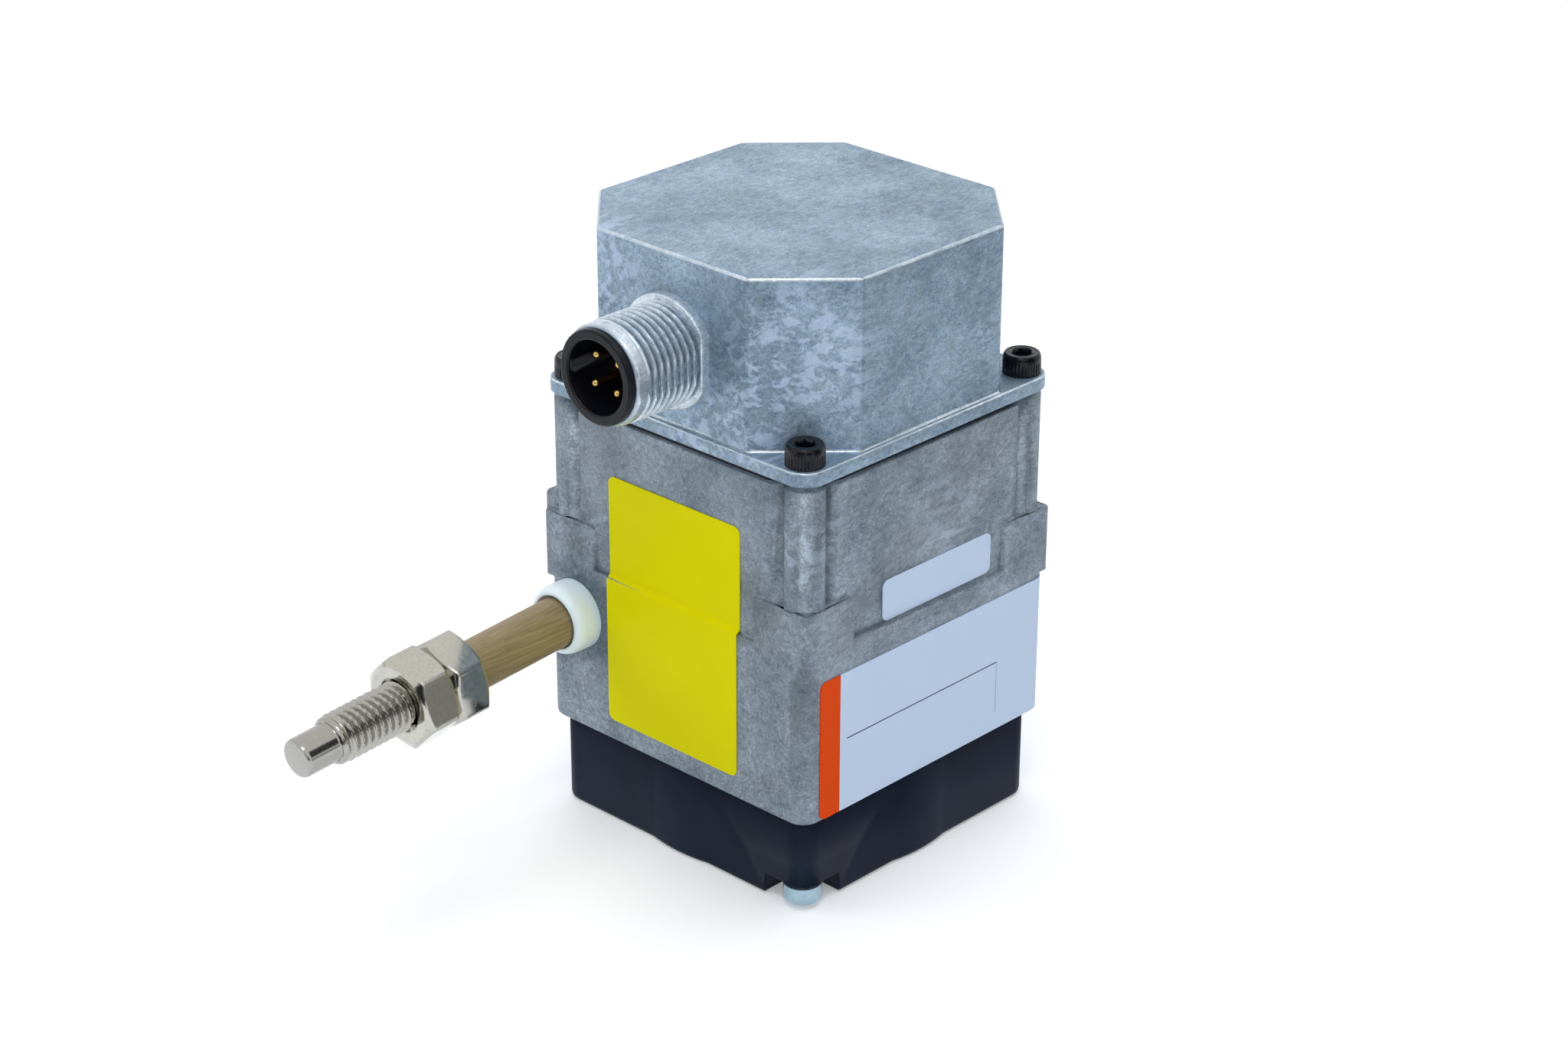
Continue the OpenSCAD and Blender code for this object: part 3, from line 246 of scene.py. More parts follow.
# %% Cast zinc recipe
def cast_zinc(name, deep, plain, pale, flake, seed, zones, roughness=0.42, metallic=0.5, rounding_mm=0.3, roots=None):
    """Deep, plain and pale are the tones that the marks mix, and flake is the crystals' colour. A
    zone is (x, y, z, radius) in mm, a ball in which crystals show, fading out at its radius. Roots is (height of a
    thread's axis, root radius, crest radius), also in mm: the roots get painted shade, darkest at the root radius and
    gone at the crest radius."""
    material, tree, shader, place = new_material(name, Metallic=metallic, Roughness=roughness)
    start = add_node(tree, "ShaderNodeMapping", {"Vector": place, "Location": (seed * 7 * MM, seed * 3 * MM, seed * 5 * MM)}).outputs[0]
    warp = add_node(tree, "ShaderNodeTexNoise", {"Vector": start, "Scale": per(1.6), "Detail": 4, "Roughness": 0.65})
    shift = add_node(tree, "ShaderNodeVectorMath", {0: warp.outputs["Color"], 1: (1.2 * MM,) * 3}, operation="MULTIPLY")
    warped = add_node(tree, "ShaderNodeVectorMath", {0: start, 1: shift.outputs[0]}, operation="ADD").outputs[0]
    # the stream of metal runs aslant, so lines and flakes are drawn out along one slanted direction
    slant = add_node(tree, "ShaderNodeMapping", {"Vector": warped, "Rotation": (radians(28), radians(34), radians(20)), "Scale": (1, 0.4, 1)}).outputs[0]
    cloud = add_node(tree, "ShaderNodeTexNoise", {"Vector": start, "Scale": per(7), "Detail": 3, "Roughness": 0.5}).outputs[0]
    mottle = add_node(tree, "ShaderNodeTexNoise", {"Vector": warped, "Scale": per(0.9), "Detail": 5, "Roughness": 0.7}).outputs[0]
    line = add_node(tree, "ShaderNodeTexNoise", {"Vector": slant, "Scale": per(0.55), "Detail": 4, "Roughness": 0.7, "Distortion": 0.8}).outputs[0]
    grain = add_node(tree, "ShaderNodeTexNoise", {"Vector": start, "Scale": per(0.24), "Detail": 2}).outputs[0]
    feather = add_node(tree, "ShaderNodeMapping", {"Vector": warped, "Rotation": (radians(28), radians(34), radians(20)), "Scale": (1, 0.2, 1)}).outputs[0]
    stroke = add_node(tree, "ShaderNodeTexNoise", {"Vector": feather, "Scale": per(1.2), "Detail": 6, "Roughness": 0.55, "Distortion": 0.35}).outputs[0]
    # tone = clouds + mottle + lines + grain, each about its own middle
    tone = 0.5
    for layer, weight in ((cloud, 0.3), (mottle, 0.18), (line, 0.38), (grain, 0.26)):
        centred = add_node(tree, "ShaderNodeMath", {0: layer, 1: 0.5}, operation="SUBTRACT").outputs[0]
        tone = add_node(tree, "ShaderNodeMath", {0: centred, 1: weight, 2: tone}, operation="MULTIPLY_ADD").outputs[0]
    ramp = add_node(tree, "ShaderNodeValToRGB", {"Fac": tone})
    set_ramp(ramp, [(0.36, linear(deep)), (0.5, linear(plain)), (0.64, linear(pale))])
    tint_part = add_node(tree, "ShaderNodeMapRange", {"Value": warp.outputs[0], "From Min": 0.45, "From Max": 0.62, "To Max": 0.3}).outputs[0]
    tinted = add_node(tree, "ShaderNodeMix", {0: tint_part, 6: ramp.outputs[0], 7: linear("#8b9c9c")}, data_type="RGBA").outputs[2]
    # crystals: the bright half of the feathered strokes, inside the zones
    near = 0.0
    for x, y, z, radius in zones:
        away = add_node(tree, "ShaderNodeVectorMath", {0: place, 1: (x * MM, y * MM, z * MM)}, operation="DISTANCE").outputs["Value"]
        inside = add_node(tree, "ShaderNodeMapRange", {"Value": away, "From Min": radius * MM, "From Max": 0.45 * radius * MM}).outputs[0]
        near = add_node(tree, "ShaderNodeMath", {0: near, 1: inside}, operation="MAXIMUM").outputs[0]
    flake_part = add_node(tree, "ShaderNodeMapRange", {"Value": stroke, "From Min": 0.49, "From Max": 0.58, "To Max": 0.6}).outputs[0]
    flake_part = add_node(tree, "ShaderNodeMath", {0: flake_part, 1: near}, operation="MULTIPLY").outputs[0]
    colour = add_node(tree, "ShaderNodeMix", {0: flake_part, 6: tinted, 7: linear(flake)}, data_type="RGBA").outputs[2]
    # painted shade: the thread's roots get a darker zinc, fading out towards the crest radius
    if roots:
        axis_z, root_r, crest_r = roots
        across = add_node(tree, "ShaderNodeVectorMath", {0: place, 1: (1, 0, 1), 2: (0, 0, -axis_z * MM)}, operation="MULTIPLY_ADD").outputs[0]
        reach = add_node(tree, "ShaderNodeVectorMath", {0: across}, operation="LENGTH").outputs["Value"]
        unshaded_share = add_node(tree, "ShaderNodeMapRange", {"Value": reach, "From Min": root_r * MM, "From Max": crest_r * MM}).outputs[0]
        colour = add_node(tree, "ShaderNodeMix", {0: unshaded_share, 6: linear("#7a8d9d"), 7: colour}, data_type="RGBA").outputs[2]
    tree.links.new(colour, shader.inputs["Base Color"])
    rough = add_node(tree, "ShaderNodeMapRange", {"Value": tone, "From Min": 0.38, "From Max": 0.62, "To Min": roughness + 0.08, "To Max": roughness - 0.08}).outputs[0]
    tree.links.new(rough, shader.inputs["Roughness"])
    relief = add_node(tree, "ShaderNodeMath", {0: grain, 1: 0.5, 2: line}, operation="MULTIPLY_ADD").outputs[0]
    bump = add_node(tree, "ShaderNodeBump", {"Height": relief, "Distance": 0.06 * MM, "Strength": 0.55})
    if rounding_mm:
        rounding = add_node(tree, "ShaderNodeBevel", {"Radius": rounding_mm * MM}, samples=4)
        tree.links.new(rounding.outputs[0], bump.inputs["Normal"])
    tree.links.new(bump.outputs[0], shader.inputs["Normal"])
    return material


COVER_ZONES = [(15.5, -16.5, 66, 12), (12, -19, 58, 9), (4, -20.5, 56.5, 8), (-12, -20.5, 71, 9), (14, 14, 64, 9)]
HOUSING_ZONES = [(18, -18, 45, 7), (21, 2, 42, 7)]
cover_zinc = cast_zinc("die_cast_zinc_cover", "#5a6e80", "#8197aa", "#a6bccf", "#b9cae2", 1, COVER_ZONES)
housing_zinc = cast_zinc("die_cast_zinc_housing", "#586472", "#7d8893", "#a5b1bd", "#a6b5c5", 4, HOUSING_ZONES, 0.45)
# the plug's thread is part of the cover casting; its paler tones are painted highlight
thread_zinc = cast_zinc("die_cast_zinc_thread", "#9fb0be", "#cfdbe5", "#f0f6fa", "#f0f6fa", 2, [], 0.24, 0.6, 0, (64.05, 5.48, 5.9))
# painted highlight: a paler copy of the cover's zinc for its rounded edges
edge_highlight_zinc = cast_zinc("die_cast_zinc_painted_edge_highlight", "#9fb0be", "#c4d2dd", "#e8f0f6", "#e8f0f6", 5, [], 0.24, 0.7, 0)

# %% [markdown]
# ## Metals of the screws, the nuts and the stud
# Small metal parts differ mostly by how they were finished. The nuts are bright nickel, smooth
# as a mirror with a few pits. The stud is stainless steel, turned at the tip and rolled in the
# thread, which leaves the flanks dull and speckled. The screws on top are blackened in a salt bath,
# and those below are zinc plated with a bluish passivation.

# %% Metal recipes
def plated_metal(name, colour, roughness, speckle_mm=0.4, spread=0.08, bump_mm=0.004, metallic=1.0, pale=None, dark=0.75, shine=0.5, rounding_mm=0):
    """A plated or ground metal: one colour, with a fine noise in its tone, roughness and surface.
    Dark is the share of its brightness that is left in the darkest specks."""
    material, tree, shader, place = new_material(name, Metallic=metallic, Roughness=roughness, Specular_IOR_Level=shine)
    noise = add_node(tree, "ShaderNodeTexNoise", {"Vector": place, "Scale": per(speckle_mm), "Detail": 4, "Roughness": 0.6})
    ramp = add_node(tree, "ShaderNodeValToRGB", {"Fac": noise.outputs[0]})
    base = linear(colour)
    set_ramp(ramp, [(0.3, tuple(c * dark for c in base[:3]) + (1.0,)), (0.55, base), (0.8, linear(pale or colour))])
    tree.links.new(ramp.outputs[0], shader.inputs["Base Color"])
    rough = add_node(tree, "ShaderNodeMapRange", {"Value": noise.outputs[0], "From Min": 0.3, "From Max": 0.7, "To Min": max(roughness - spread, 0.03), "To Max": roughness + spread})
    tree.links.new(rough.outputs[0], shader.inputs["Roughness"])
    bump = add_node(tree, "ShaderNodeBump", {"Height": noise.outputs[0], "Distance": bump_mm * MM, "Strength": 0.6})
    if rounding_mm:
        rounding = add_node(tree, "ShaderNodeBevel", {"Radius": rounding_mm * MM}, samples=4)
        tree.links.new(rounding.outputs[0], bump.inputs["Normal"])
    tree.links.new(bump.outputs[0], shader.inputs["Normal"])
    return material


bright_nickel = plated_metal("bright_nickel_plate", "#bebcb3", 0.08, 0.5, 0.03, 0.002, dark=0.88, rounding_mm=0.35)
rolled_stainless = plated_metal("rolled_stainless_thread", "#b2b0aa", 0.22, 0.13, 0.04, 0.003, pale="#c9c3bc", dark=0.8)
turned_stainless = plated_metal("turned_stainless_tip", "#aaa8a3", 0.17, 0.2, 0.03, 0.002, dark=0.85)
black_oxide = plated_metal("black_oxide_steel", "#0a0d16", 0.22, 0.5, 0.05, 0.003, metallic=0.0, pale="#11151f", shine=0.28)
blue_zinc = plated_metal("blue_passivated_zinc", "#a9c4d2", 0.3, 2.5, 0.06, 0.003, pale="#c4d8e2")
gold_plate = plated_metal("gold_plate", "#e0bb6c", 0.2, 0.5, 0.05, 0.003)

# %% [markdown]
# ## Plastics, rubber and labels
# The spring's housing is moulded from black glass-filled nylon, which looks dark blue-grey and satin
# with a fine orange-peel texture. The plug's insert is a smoother black. The wire leaves through a
# bush of white acetal, slippery and slightly translucent, and the stop sleeve is an extruded tube of
# natural brown high-temperature plastic, with fine lines along it. The labels are printed film.

# %% Plastic recipes
def moulded_plastic(name, colour, pale, roughness, texture_mm, bump_mm, subsurface=0.0, shine=0.5):
    """Moulded plastic: nearly one colour, with a faint cloudiness and a shallow texture of that size."""
    material, tree, shader, place = new_material(name, Roughness=roughness, IOR=1.5, Specular_IOR_Level=shine)
    if subsurface:
        shader.inputs["Subsurface Weight"].default_value = subsurface
        shader.inputs["Subsurface Scale"].default_value = 1.2 * MM
    cloud = add_node(tree, "ShaderNodeTexNoise", {"Vector": place, "Scale": per(6), "Detail": 4})
    ramp = add_node(tree, "ShaderNodeValToRGB", {"Fac": cloud.outputs[0]})
    set_ramp(ramp, [(0.3, linear(colour)), (0.75, linear(pale))])
    tree.links.new(ramp.outputs[0], shader.inputs["Base Color"])
    texture = add_node(tree, "ShaderNodeTexNoise", {"Vector": place, "Scale": per(texture_mm), "Detail": 2})
    bump = add_node(tree, "ShaderNodeBump", {"Height": texture.outputs[0], "Distance": bump_mm * MM, "Strength": 0.6})
    tree.links.new(bump.outputs[0], shader.inputs["Normal"])
    return material


glass_filled_nylon = moulded_plastic("moulded_glass_filled_nylon", "#131a2a", "#1a2235", 0.42, 0.3, 0.008, shine=0.12)
insert_nylon = moulded_plastic("moulded_black_insert", "#0b0c12", "#12141c", 0.26, 0.6, 0.004, shine=0.22)
gasket_rubber = moulded_plastic("moulded_nitrile_rubber", "#17191d", "#22252a", 0.7, 0.3, 0.01)
white_acetal = moulded_plastic("turned_white_acetal", "#e0eff1", "#eef8fa", 0.3, 0.8, 0.004, subsurface=0.4)

# %% Brown sleeve with lines along its length
brown_peek, tree, shader, place = new_material("extruded_brown_sleeve", Roughness=0.48, IOR=1.5)
DROOP = radians(4.1)
along_wire = add_node(tree, "ShaderNodeMapping", {"Vector": place, "Rotation": (DROOP, 0, 0), "Scale": (1, 0.04, 1)})
lines = add_node(tree, "ShaderNodeTexNoise", {"Vector": along_wire.outputs[0], "Scale": per(0.35), "Detail": 5, "Roughness": 0.7})
ramp = add_node(tree, "ShaderNodeValToRGB", {"Fac": lines.outputs[0]})
set_ramp(ramp, [(0.3, linear("#76684b")), (0.55, linear("#907f5e")), (0.8, linear("#a69574"))])
tree.links.new(ramp.outputs[0], shader.inputs["Base Color"])
bump = add_node(tree, "ShaderNodeBump", {"Height": lines.outputs[0], "Distance": 0.02 * MM, "Strength": 0.5})
tree.links.new(bump.outputs[0], shader.inputs["Normal"])

# %% Label films
def label_film(name, colour, stripes=()):
    """Printed film. Each stripe is (axis, from, to, axis, from, to, colour), a field between two
    limits in mm on each of two axes, drawn in its own colour."""
    material, tree, shader, place = new_material(name, Roughness=0.42, IOR=1.45, Specular_IOR_Level=0.05)
    axes = add_node(tree, "ShaderNodeSeparateXYZ", {"Vector": place})
    cloud = add_node(tree, "ShaderNodeTexNoise", {"Vector": place, "Scale": per(7), "Detail": 3})
    tint = add_node(tree, "ShaderNodeMix", {0: cloud.outputs[0], 6: linear(colour), 7: tuple(0.93 * c for c in linear(colour)[:3]) + (1.0,)}, data_type="RGBA")
    result = tint.outputs[2]
    for first, low_a, high_a, second, low_b, high_b, stripe_colour in stripes:
        inside = None
        for axis, low, high in ((first, low_a, high_a), (second, low_b, high_b)):
            middle, half = (low + high) / 2 * MM, (high - low) / 2 * MM
            limit = add_node(tree, "ShaderNodeMath", {0: axes.outputs[axis], 1: middle, 2: half}, operation="COMPARE")
            inside = limit if inside is None else add_node(tree, "ShaderNodeMath", {0: inside.outputs[0], 1: limit.outputs[0]}, operation="MULTIPLY")
        layer = add_node(tree, "ShaderNodeMix", {0: inside.outputs[0], 6: result, 7: linear(stripe_colour)}, data_type="RGBA")
        result = layer.outputs[2]
    tree.links.new(result, shader.inputs["Base Color"])
    ripple = add_node(tree, "ShaderNodeTexNoise", {"Vector": place, "Scale": per(5), "Detail": 2})
    bump = add_node(tree, "ShaderNodeBump", {"Height": ripple.outputs[0], "Distance": 0.06 * MM, "Strength": 0.35})
    tree.links.new(bump.outputs[0], shader.inputs["Normal"])
    return material


yellow_film = label_film("yellow_polyester_film", "#e2da00")
plain_film = label_film("white_polyester_film", "#ccdcf1")
striped_film = label_film("white_film_with_stripe", "#ccdcf1", [
    ("Y", -19.0, -15.25, "Z", 11.0, 30.0, "#e44a08"),
    ("Y", -14.1, 12.0, "Z", 20.7, 20.86, "#4a5563"),
    ("Y", 11.9, 12.0, "Z", 14.2, 20.86, "#8f9cb0"),
])

# %% [markdown]
# ## Finishes of the parts inside
# The drum, the shaft, the bearings, the sensor and the board are closed in, but the model can be
# opened, so each has its own plain finish. They use the two recipes above.

# %% A finish for every slot of the model
finishes = {
    "cast_zinc": cover_zinc, "cast_zinc_dark": housing_zinc, "black_plastic": glass_filled_nylon,
    "zinc_plated_steel": blue_zinc, "black_oxide_steel": black_oxide, "black_rubber": gasket_rubber,
    "insert_plastic": insert_nylon, "gold_plated_brass": gold_plate, "white_acetal": white_acetal,
    "yellow_film": yellow_film, "white_film": plain_film, "brown_sleeve": brown_peek,
    "stainless_steel": turned_stainless, "nickel_plated_nut": bright_nickel,
    "lead_insulation": moulded_plastic("extruded_blue_insulation", "#2f57a0", "#3b66b2", 0.4, 0.5, 0.005),
    "milled_aluminium": plated_metal("milled_aluminium", "#c9cdd1", 0.34, 0.3, 0.08),
    "brass_rod": plated_metal("turned_brass", "#c9a45c", 0.3, 0.3, 0.06),
    "plated_screw_steel": plated_metal("nickel_plated_screws", "#c6c8c9", 0.26, 0.5, 0.06),
    "bearing_steel": plated_metal("ground_bearing_steel", "#c3c7cb", 0.16, 0.5, 0.04),
    "shaft_steel": plated_metal("ground_shaft_steel", "#b4b8bc", 0.22, 0.3, 0.05),
    "spring_steel": plated_metal("rolled_spring_steel", "#6a7480", 0.34, 0.4, 0.06),
    "stainless_wire": plated_metal("stranded_stainless_wire", "#9a9ea2", 0.36, 0.12, 0.1, 0.03),
    "sensor_plastic": moulded_plastic("moulded_blue_sensor_case", "#28467a", "#31538c", 0.4, 0.5, 0.006),
    "board_laminate": moulded_plastic("green_solder_mask", "#1f5a38", "#2a6d46", 0.35, 0.5, 0.006),
    "component_plastic": moulded_plastic("moulded_epoxy_components", "#1d2024", "#282b30", 0.55, 0.3, 0.008),
}
slot_of = {row["node"]: row["material_slot"] for row in frame["record"]["subparts"]}
for name, node in nodes.items():
    node.data.materials.clear()
    node.data.materials.append(striped_film if name == "type_label" else finishes[slot_of[name]])
print("finishes:", len(finishes))

# %% [markdown]
# ## Rounded copies of the castings and mouldings
# No cast or moulded edge is sharp. For the two housings and the plug's insert the construction mesh is copied, its
# loose triangles are welded and the flat ones joined into whole faces, and a Bevel modifier then rounds
# the sharp edges that a list of rules picks, each with its own radius. The original stays untouched underneath for the
# physics, and the copy stands for it.

# %% Round the edges of a solid
def weld(mesh, join_flat=True):
    """Welds a mesh's doubled points and, if asked, joins flat neighbouring faces."""
    work = bmesh.new()
    work.from_mesh(mesh)
    bmesh.ops.remove_doubles(work, verts=work.verts, dist=0.001 * MM)
    if join_flat:
        bmesh.ops.dissolve_limit(work, angle_limit=radians(0.6), verts=work.verts, edges=work.edges)
    for face in work.faces:
        face.smooth = True
    work.to_mesh(mesh)
    work.free()
    for left_over in ("custom_normal", "sharp_face", "sharp_edge"):
        if left_over in mesh.attributes:
            mesh.attributes.remove(mesh.attributes[left_over])


def hand_over(piece, body, slot, *stands_for):
    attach(piece, body)
    if stands_for:
        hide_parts(*stands_for)
    print(piece.name, "-", len(piece.data.vertices), "points")
    return piece


def rounded_copy(node_name, name, rules, segments=3, edge_angle=32):
    """A copy of a node with rounded edges. Each rule is (radius in mm, test), and a test is given
    arrays of the edges' middles in mm and of their upward share, 0 level to 1 upright."""
    node = nodes[node_name]
    mesh = node.data.copy()
    piece = bpy.data.objects.new(name, mesh)
    scene.collection.objects.link(piece)
    weld(mesh)
    count = len(mesh.edges)
    ends, points = np.zeros(2 * count, int), np.zeros(3 * len(mesh.vertices))
    mesh.edges.foreach_get("vertices", ends)
    mesh.vertices.foreach_get("co", points)
    first, second = points.reshape(-1, 3)[ends.reshape(-1, 2)].transpose(1, 0, 2) / MM
    middle, line = (first + second) / 2, second - first
    upright = np.abs(line[:, 2]) / np.maximum(np.linalg.norm(line, axis=1), 1e-9)
    work = bmesh.new()
    work.from_mesh(mesh)
    sharp = np.array([e.is_manifold and e.calc_face_angle() > radians(edge_angle) for e in work.edges])
    work.free()
    largest = max(radius for radius, _ in rules)
    weight = np.zeros(count)
    for radius, test in rules:
        weight[sharp & test(middle[:, 0], middle[:, 1], middle[:, 2], upright)] = radius / largest
    mesh.attributes.new("bevel_weight_edge", "FLOAT", "EDGE").data.foreach_set("value", weight)
    bevel = piece.modifiers.new("rounding", "BEVEL")
    bevel.width = largest * MM
    bevel.segments = segments
    bevel.limit_method = "WEIGHT"
    bevel.use_clamp_overlap = False
    bevel.harden_normals = True
    print(name, "rounds", int((weight > 0).sum()), "edges")
    return piece


def at(value, aim):
    return np.abs(value - aim) < 0.02


def outside(x, y, limit):
    return np.maximum(np.abs(x), np.abs(y)) > limit


spring_case = rounded_copy("spring_housing", "spring_housing_moulding", [
    (0.7, lambda x, y, z, up: at(z, 0)),
    (0.3, lambda x, y, z, up: (up > 0.99) & (z < 3) & outside(x, y, 14)),
])
hand_over(spring_case, "housing", "black_plastic", "spring_housing")
drum_case = rounded_copy("drum_housing", "drum_housing_casting", [
    (0.5, lambda x, y, z, up: at(z, 11.5) & outside(x, y, 18.6)),
    (0.35, lambda x, y, z, up: at(z, 32.6) & outside(x, y, 20.5)),
    (0.3, lambda x, y, z, up: at(z, 38.2) & outside(x, y, 20.4)),
    (0.2, lambda x, y, z, up: at(z, 52.5) & outside(x, y, 20.3)),
])
hand_over(drum_case, "housing", "cast_zinc_dark", "drum_housing")

# %% [markdown]
# ## Turned and threaded pieces
# A turned part is a profile carried round an axis. One helper lays a grid over it: rows follow the
# profile, columns go round, and the radius may change with the angle. That last freedom gives
# threads, hexagons and knurls from the same few lines.

# %% Grid round an axis
def axis_frame(origin_mm, along, across):
    """Origin and three unit directions: along the axis, across it, and across both."""
    a = np.array(along, float) / np.linalg.norm(along)
    u = np.array(across, float) - np.dot(across, a) * a
    u /= np.linalg.norm(u)
    return np.array(origin_mm, float), a, u, np.cross(a, u)


def grid_round(name, place, stations, radii, material, closed_rows=False):
    """A surface of rows and columns. Point (i, j) lies stations[i, j] along the axis from the origin
    and radii[i, j] away from it, at the angle of column j. With closed_rows the last row joins the
    first, as on a nut or a tube, and otherwise the first and last rows close to a point each."""
    origin, a, u, v = place
    radii = np.asarray(radii, float)
    count = radii.shape[1]
    stations = np.broadcast_to(np.asarray(stations, float).reshape(len(radii), -1), radii.shape)
    angle = np.arange(count) * 2 * pi / count
    points = (origin + stations[..., None] * a
              + (radii * np.cos(angle))[..., None] * u + (radii * np.sin(angle))[..., None] * v) * MM
    rows = len(radii)
    i, j = np.meshgrid(np.arange(rows if closed_rows else rows - 1), np.arange(count), indexing="ij")
    k, m = (i + 1) % rows, (j + 1) % count
    faces = np.stack([i * count + j, i * count + m, k * count + m, k * count + j], -1).reshape(-1, 4)
    mesh = bpy.data.meshes.new(name)
    mesh.from_pydata(points.reshape(-1, 3).tolist(), [], faces.tolist())
    weld(mesh, join_flat=False)
    mesh.set_sharp_from_angle(angle=radians(38))
    mesh.materials.append(material)
    piece = bpy.data.objects.new(name, mesh)
    scene.collection.objects.link(piece)
    return piece


def soft_min(first, second, softness):
    """The smaller of two arrays, with a rounded hand-over of about softness between them."""
    return -softness * np.logaddexp(-first / softness, -second / softness)


def column_angles(count):
    return np.arange(count) * 2 * pi / count


def hexagon_radius(angle, half_width, turn=0.0):
    """Distance from the axis to a hexagon's side: half its width over the cosine of the angle to the
    nearest side's middle. A corner lies at the given turn."""
    return half_width / np.cos((angle - turn) % (pi / 3) - pi / 6)


def thread_height(share, crest=0.12, root=0.22):
    """Height of a thread, 0 at the root and 1 at the crest, at a share of one pitch. The crest lies
    at share 0. Crest and root are the flat shares of the pitch, with straight flanks between."""
    away = np.abs(2 * (share % 1.0) - 1)
    return np.clip((away - root) / (1 - crest - root), 0, 1)


def filled_profile(corners, steps):
    """Stations and radii along a polyline of corners, with steps rows between each two of them."""
    corners = np.array(corners, float)
    parts = [corners[i] + (corners[i + 1] - corners[i]) * np.linspace(0, 1, n, endpoint=False)[:, None]
             for i, n in enumerate(steps)]
    rows = np.concatenate(parts + [corners[-1:]])
    return rows[:, 0], rows[:, 1]


# %% [markdown]
# ## The cover
# The cover is one casting: a square flange with round corners and an eight sided box on it. Seen from
# above, both are outlines round the same axis, so the whole skin is one grid. Each row has a height
# and an outline, and the reach of that outline changes with the angle. The corners are rounded by
# circles that touch both flats, the foot has a small fillet, and the top edge is turned over by a
# third of a millimetre, which catches the light.

# %% Outline of flats with rounded corners
def outline_reach(angle, flats, rounding):
    """Distance from the axis to a convex outline. Each flat is (its direction in degrees, its
    distance). The reach is the smallest distance over the cosine of the angle to a flat, except near
    a corner, where it is the far crossing with a circle of the given radius that touches both flats."""
    aims = [(radians(direction), distance) for direction, distance in flats]
    reach = np.min([distance / np.maximum(np.cos(angle - aim), 1e-6) for aim, distance in aims], axis=0)
    heading = np.stack([np.cos(angle), np.sin(angle)])
    for (aim_a, distance_a), (aim_b, distance_b) in zip(aims, aims[1:] + aims[:1]):
        normal_a, normal_b = np.array([cos(aim_a), sin(aim_a)]), np.array([cos(aim_b), sin(aim_b)])
        centre = np.linalg.solve(np.stack([normal_a, normal_b]), [distance_a - rounding, distance_b - rounding])
        along = centre @ heading
        room = along ** 2 - centre @ centre + rounding ** 2
        far = along + np.sqrt(np.maximum(room, 0))
        spoke = far * heading - centre[:, None]
        after_a = normal_a[0] * spoke[1] - normal_a[1] * spoke[0] > 0
        before_b = spoke[0] * normal_b[1] - spoke[1] * normal_b[0] > 0
        reach = np.where((room > 0) & after_a & before_b, far, reach)
    return reach


def box_reach(angle, inset, rounding=0.9):
    """The eight sided box, moved inwards by inset: flats at 20.45 mm and slanted ones at 22.70 mm."""
    flats = [(45 * n, (20.45 if n % 2 == 0 else 22.70) - inset) for n in range(8)]
    return outline_reach(angle, flats, rounding)


def flange_reach(angle, inset):
    """The flange, 42 mm square with corners of 2.75 mm, moved inwards by inset."""
    return outline_reach(angle, [(90 * n, 21 - inset) for n in range(4)], 2.75 - inset)


# %% Cover
FLANGE_LOW, FLANGE_TOP, ROOF, TOP = 53.4, 55.15, 73.55, 75.45
WALL, FILLET, TOP_EDGE, FLANGE_EDGE = 1.9, 0.3, 0.35, 0.2
angle = column_angles(1080)
quarter = np.radians(np.linspace(0, 90, 6))
cavity, box = box_reach(angle, WALL, 0.5), box_reach(angle, 0)
rows = [(ROOF, 0 * cavity), (ROOF, 0.5 * cavity), (ROOF, 0.97 * cavity), (ROOF - 0.3, cavity), (64, cavity), (FLANGE_LOW, cavity)]
rows += [(FLANGE_LOW + FLANGE_EDGE * (1 - cos(t)), flange_reach(angle, FLANGE_EDGE * (1 - sin(t)))) for t in quarter]
rows += [(FLANGE_TOP - FLANGE_EDGE * (1 - sin(t)), flange_reach(angle, FLANGE_EDGE * (1 - cos(t)))) for t in quarter]
rows += [(FLANGE_TOP + FILLET * (1 - cos(t)), box + FILLET * (1 - sin(t))) for t in quarter]
rows += [(z, box) for z in (57, 60, 65, 70, 74)]
rows += [(TOP - TOP_EDGE * (1 - sin(t)), box_reach(angle, TOP_EDGE * (1 - cos(t)))) for t in quarter]
rows += [(TOP, share * box_reach(angle, TOP_EDGE)) for share in (0.985, 0.9, 0.6, 0.3, 0)]
upright = axis_frame((0, 0, 0), (0, 0, 1), (1, 0, 0))
cover = grid_round("encoder_cover_casting", upright, np.array([z for z, _ in rows]), np.stack([r for _, r in rows]), cover_zinc)
# painted highlight: faces that slope part way up, on the rounded edges and the fillet at the foot, get a paler copy of
# the zinc
cover.data.materials.append(edge_highlight_zinc)
heights = np.array([p.center.z / MM for p in cover.data.polygons])
reach = np.array([max(abs(p.center.x), abs(p.center.y)) / MM for p in cover.data.polygons])
slope = np.array([p.normal.z for p in cover.data.polygons])
highlight_faces = (slope > 0.15) & (slope < 0.9) & (reach > 12)
cover.data.polygons.foreach_set("material_index", highlight_faces.astype(np.int32))
hand_over(cover, "housing", "cast_zinc", "encoder_cover")

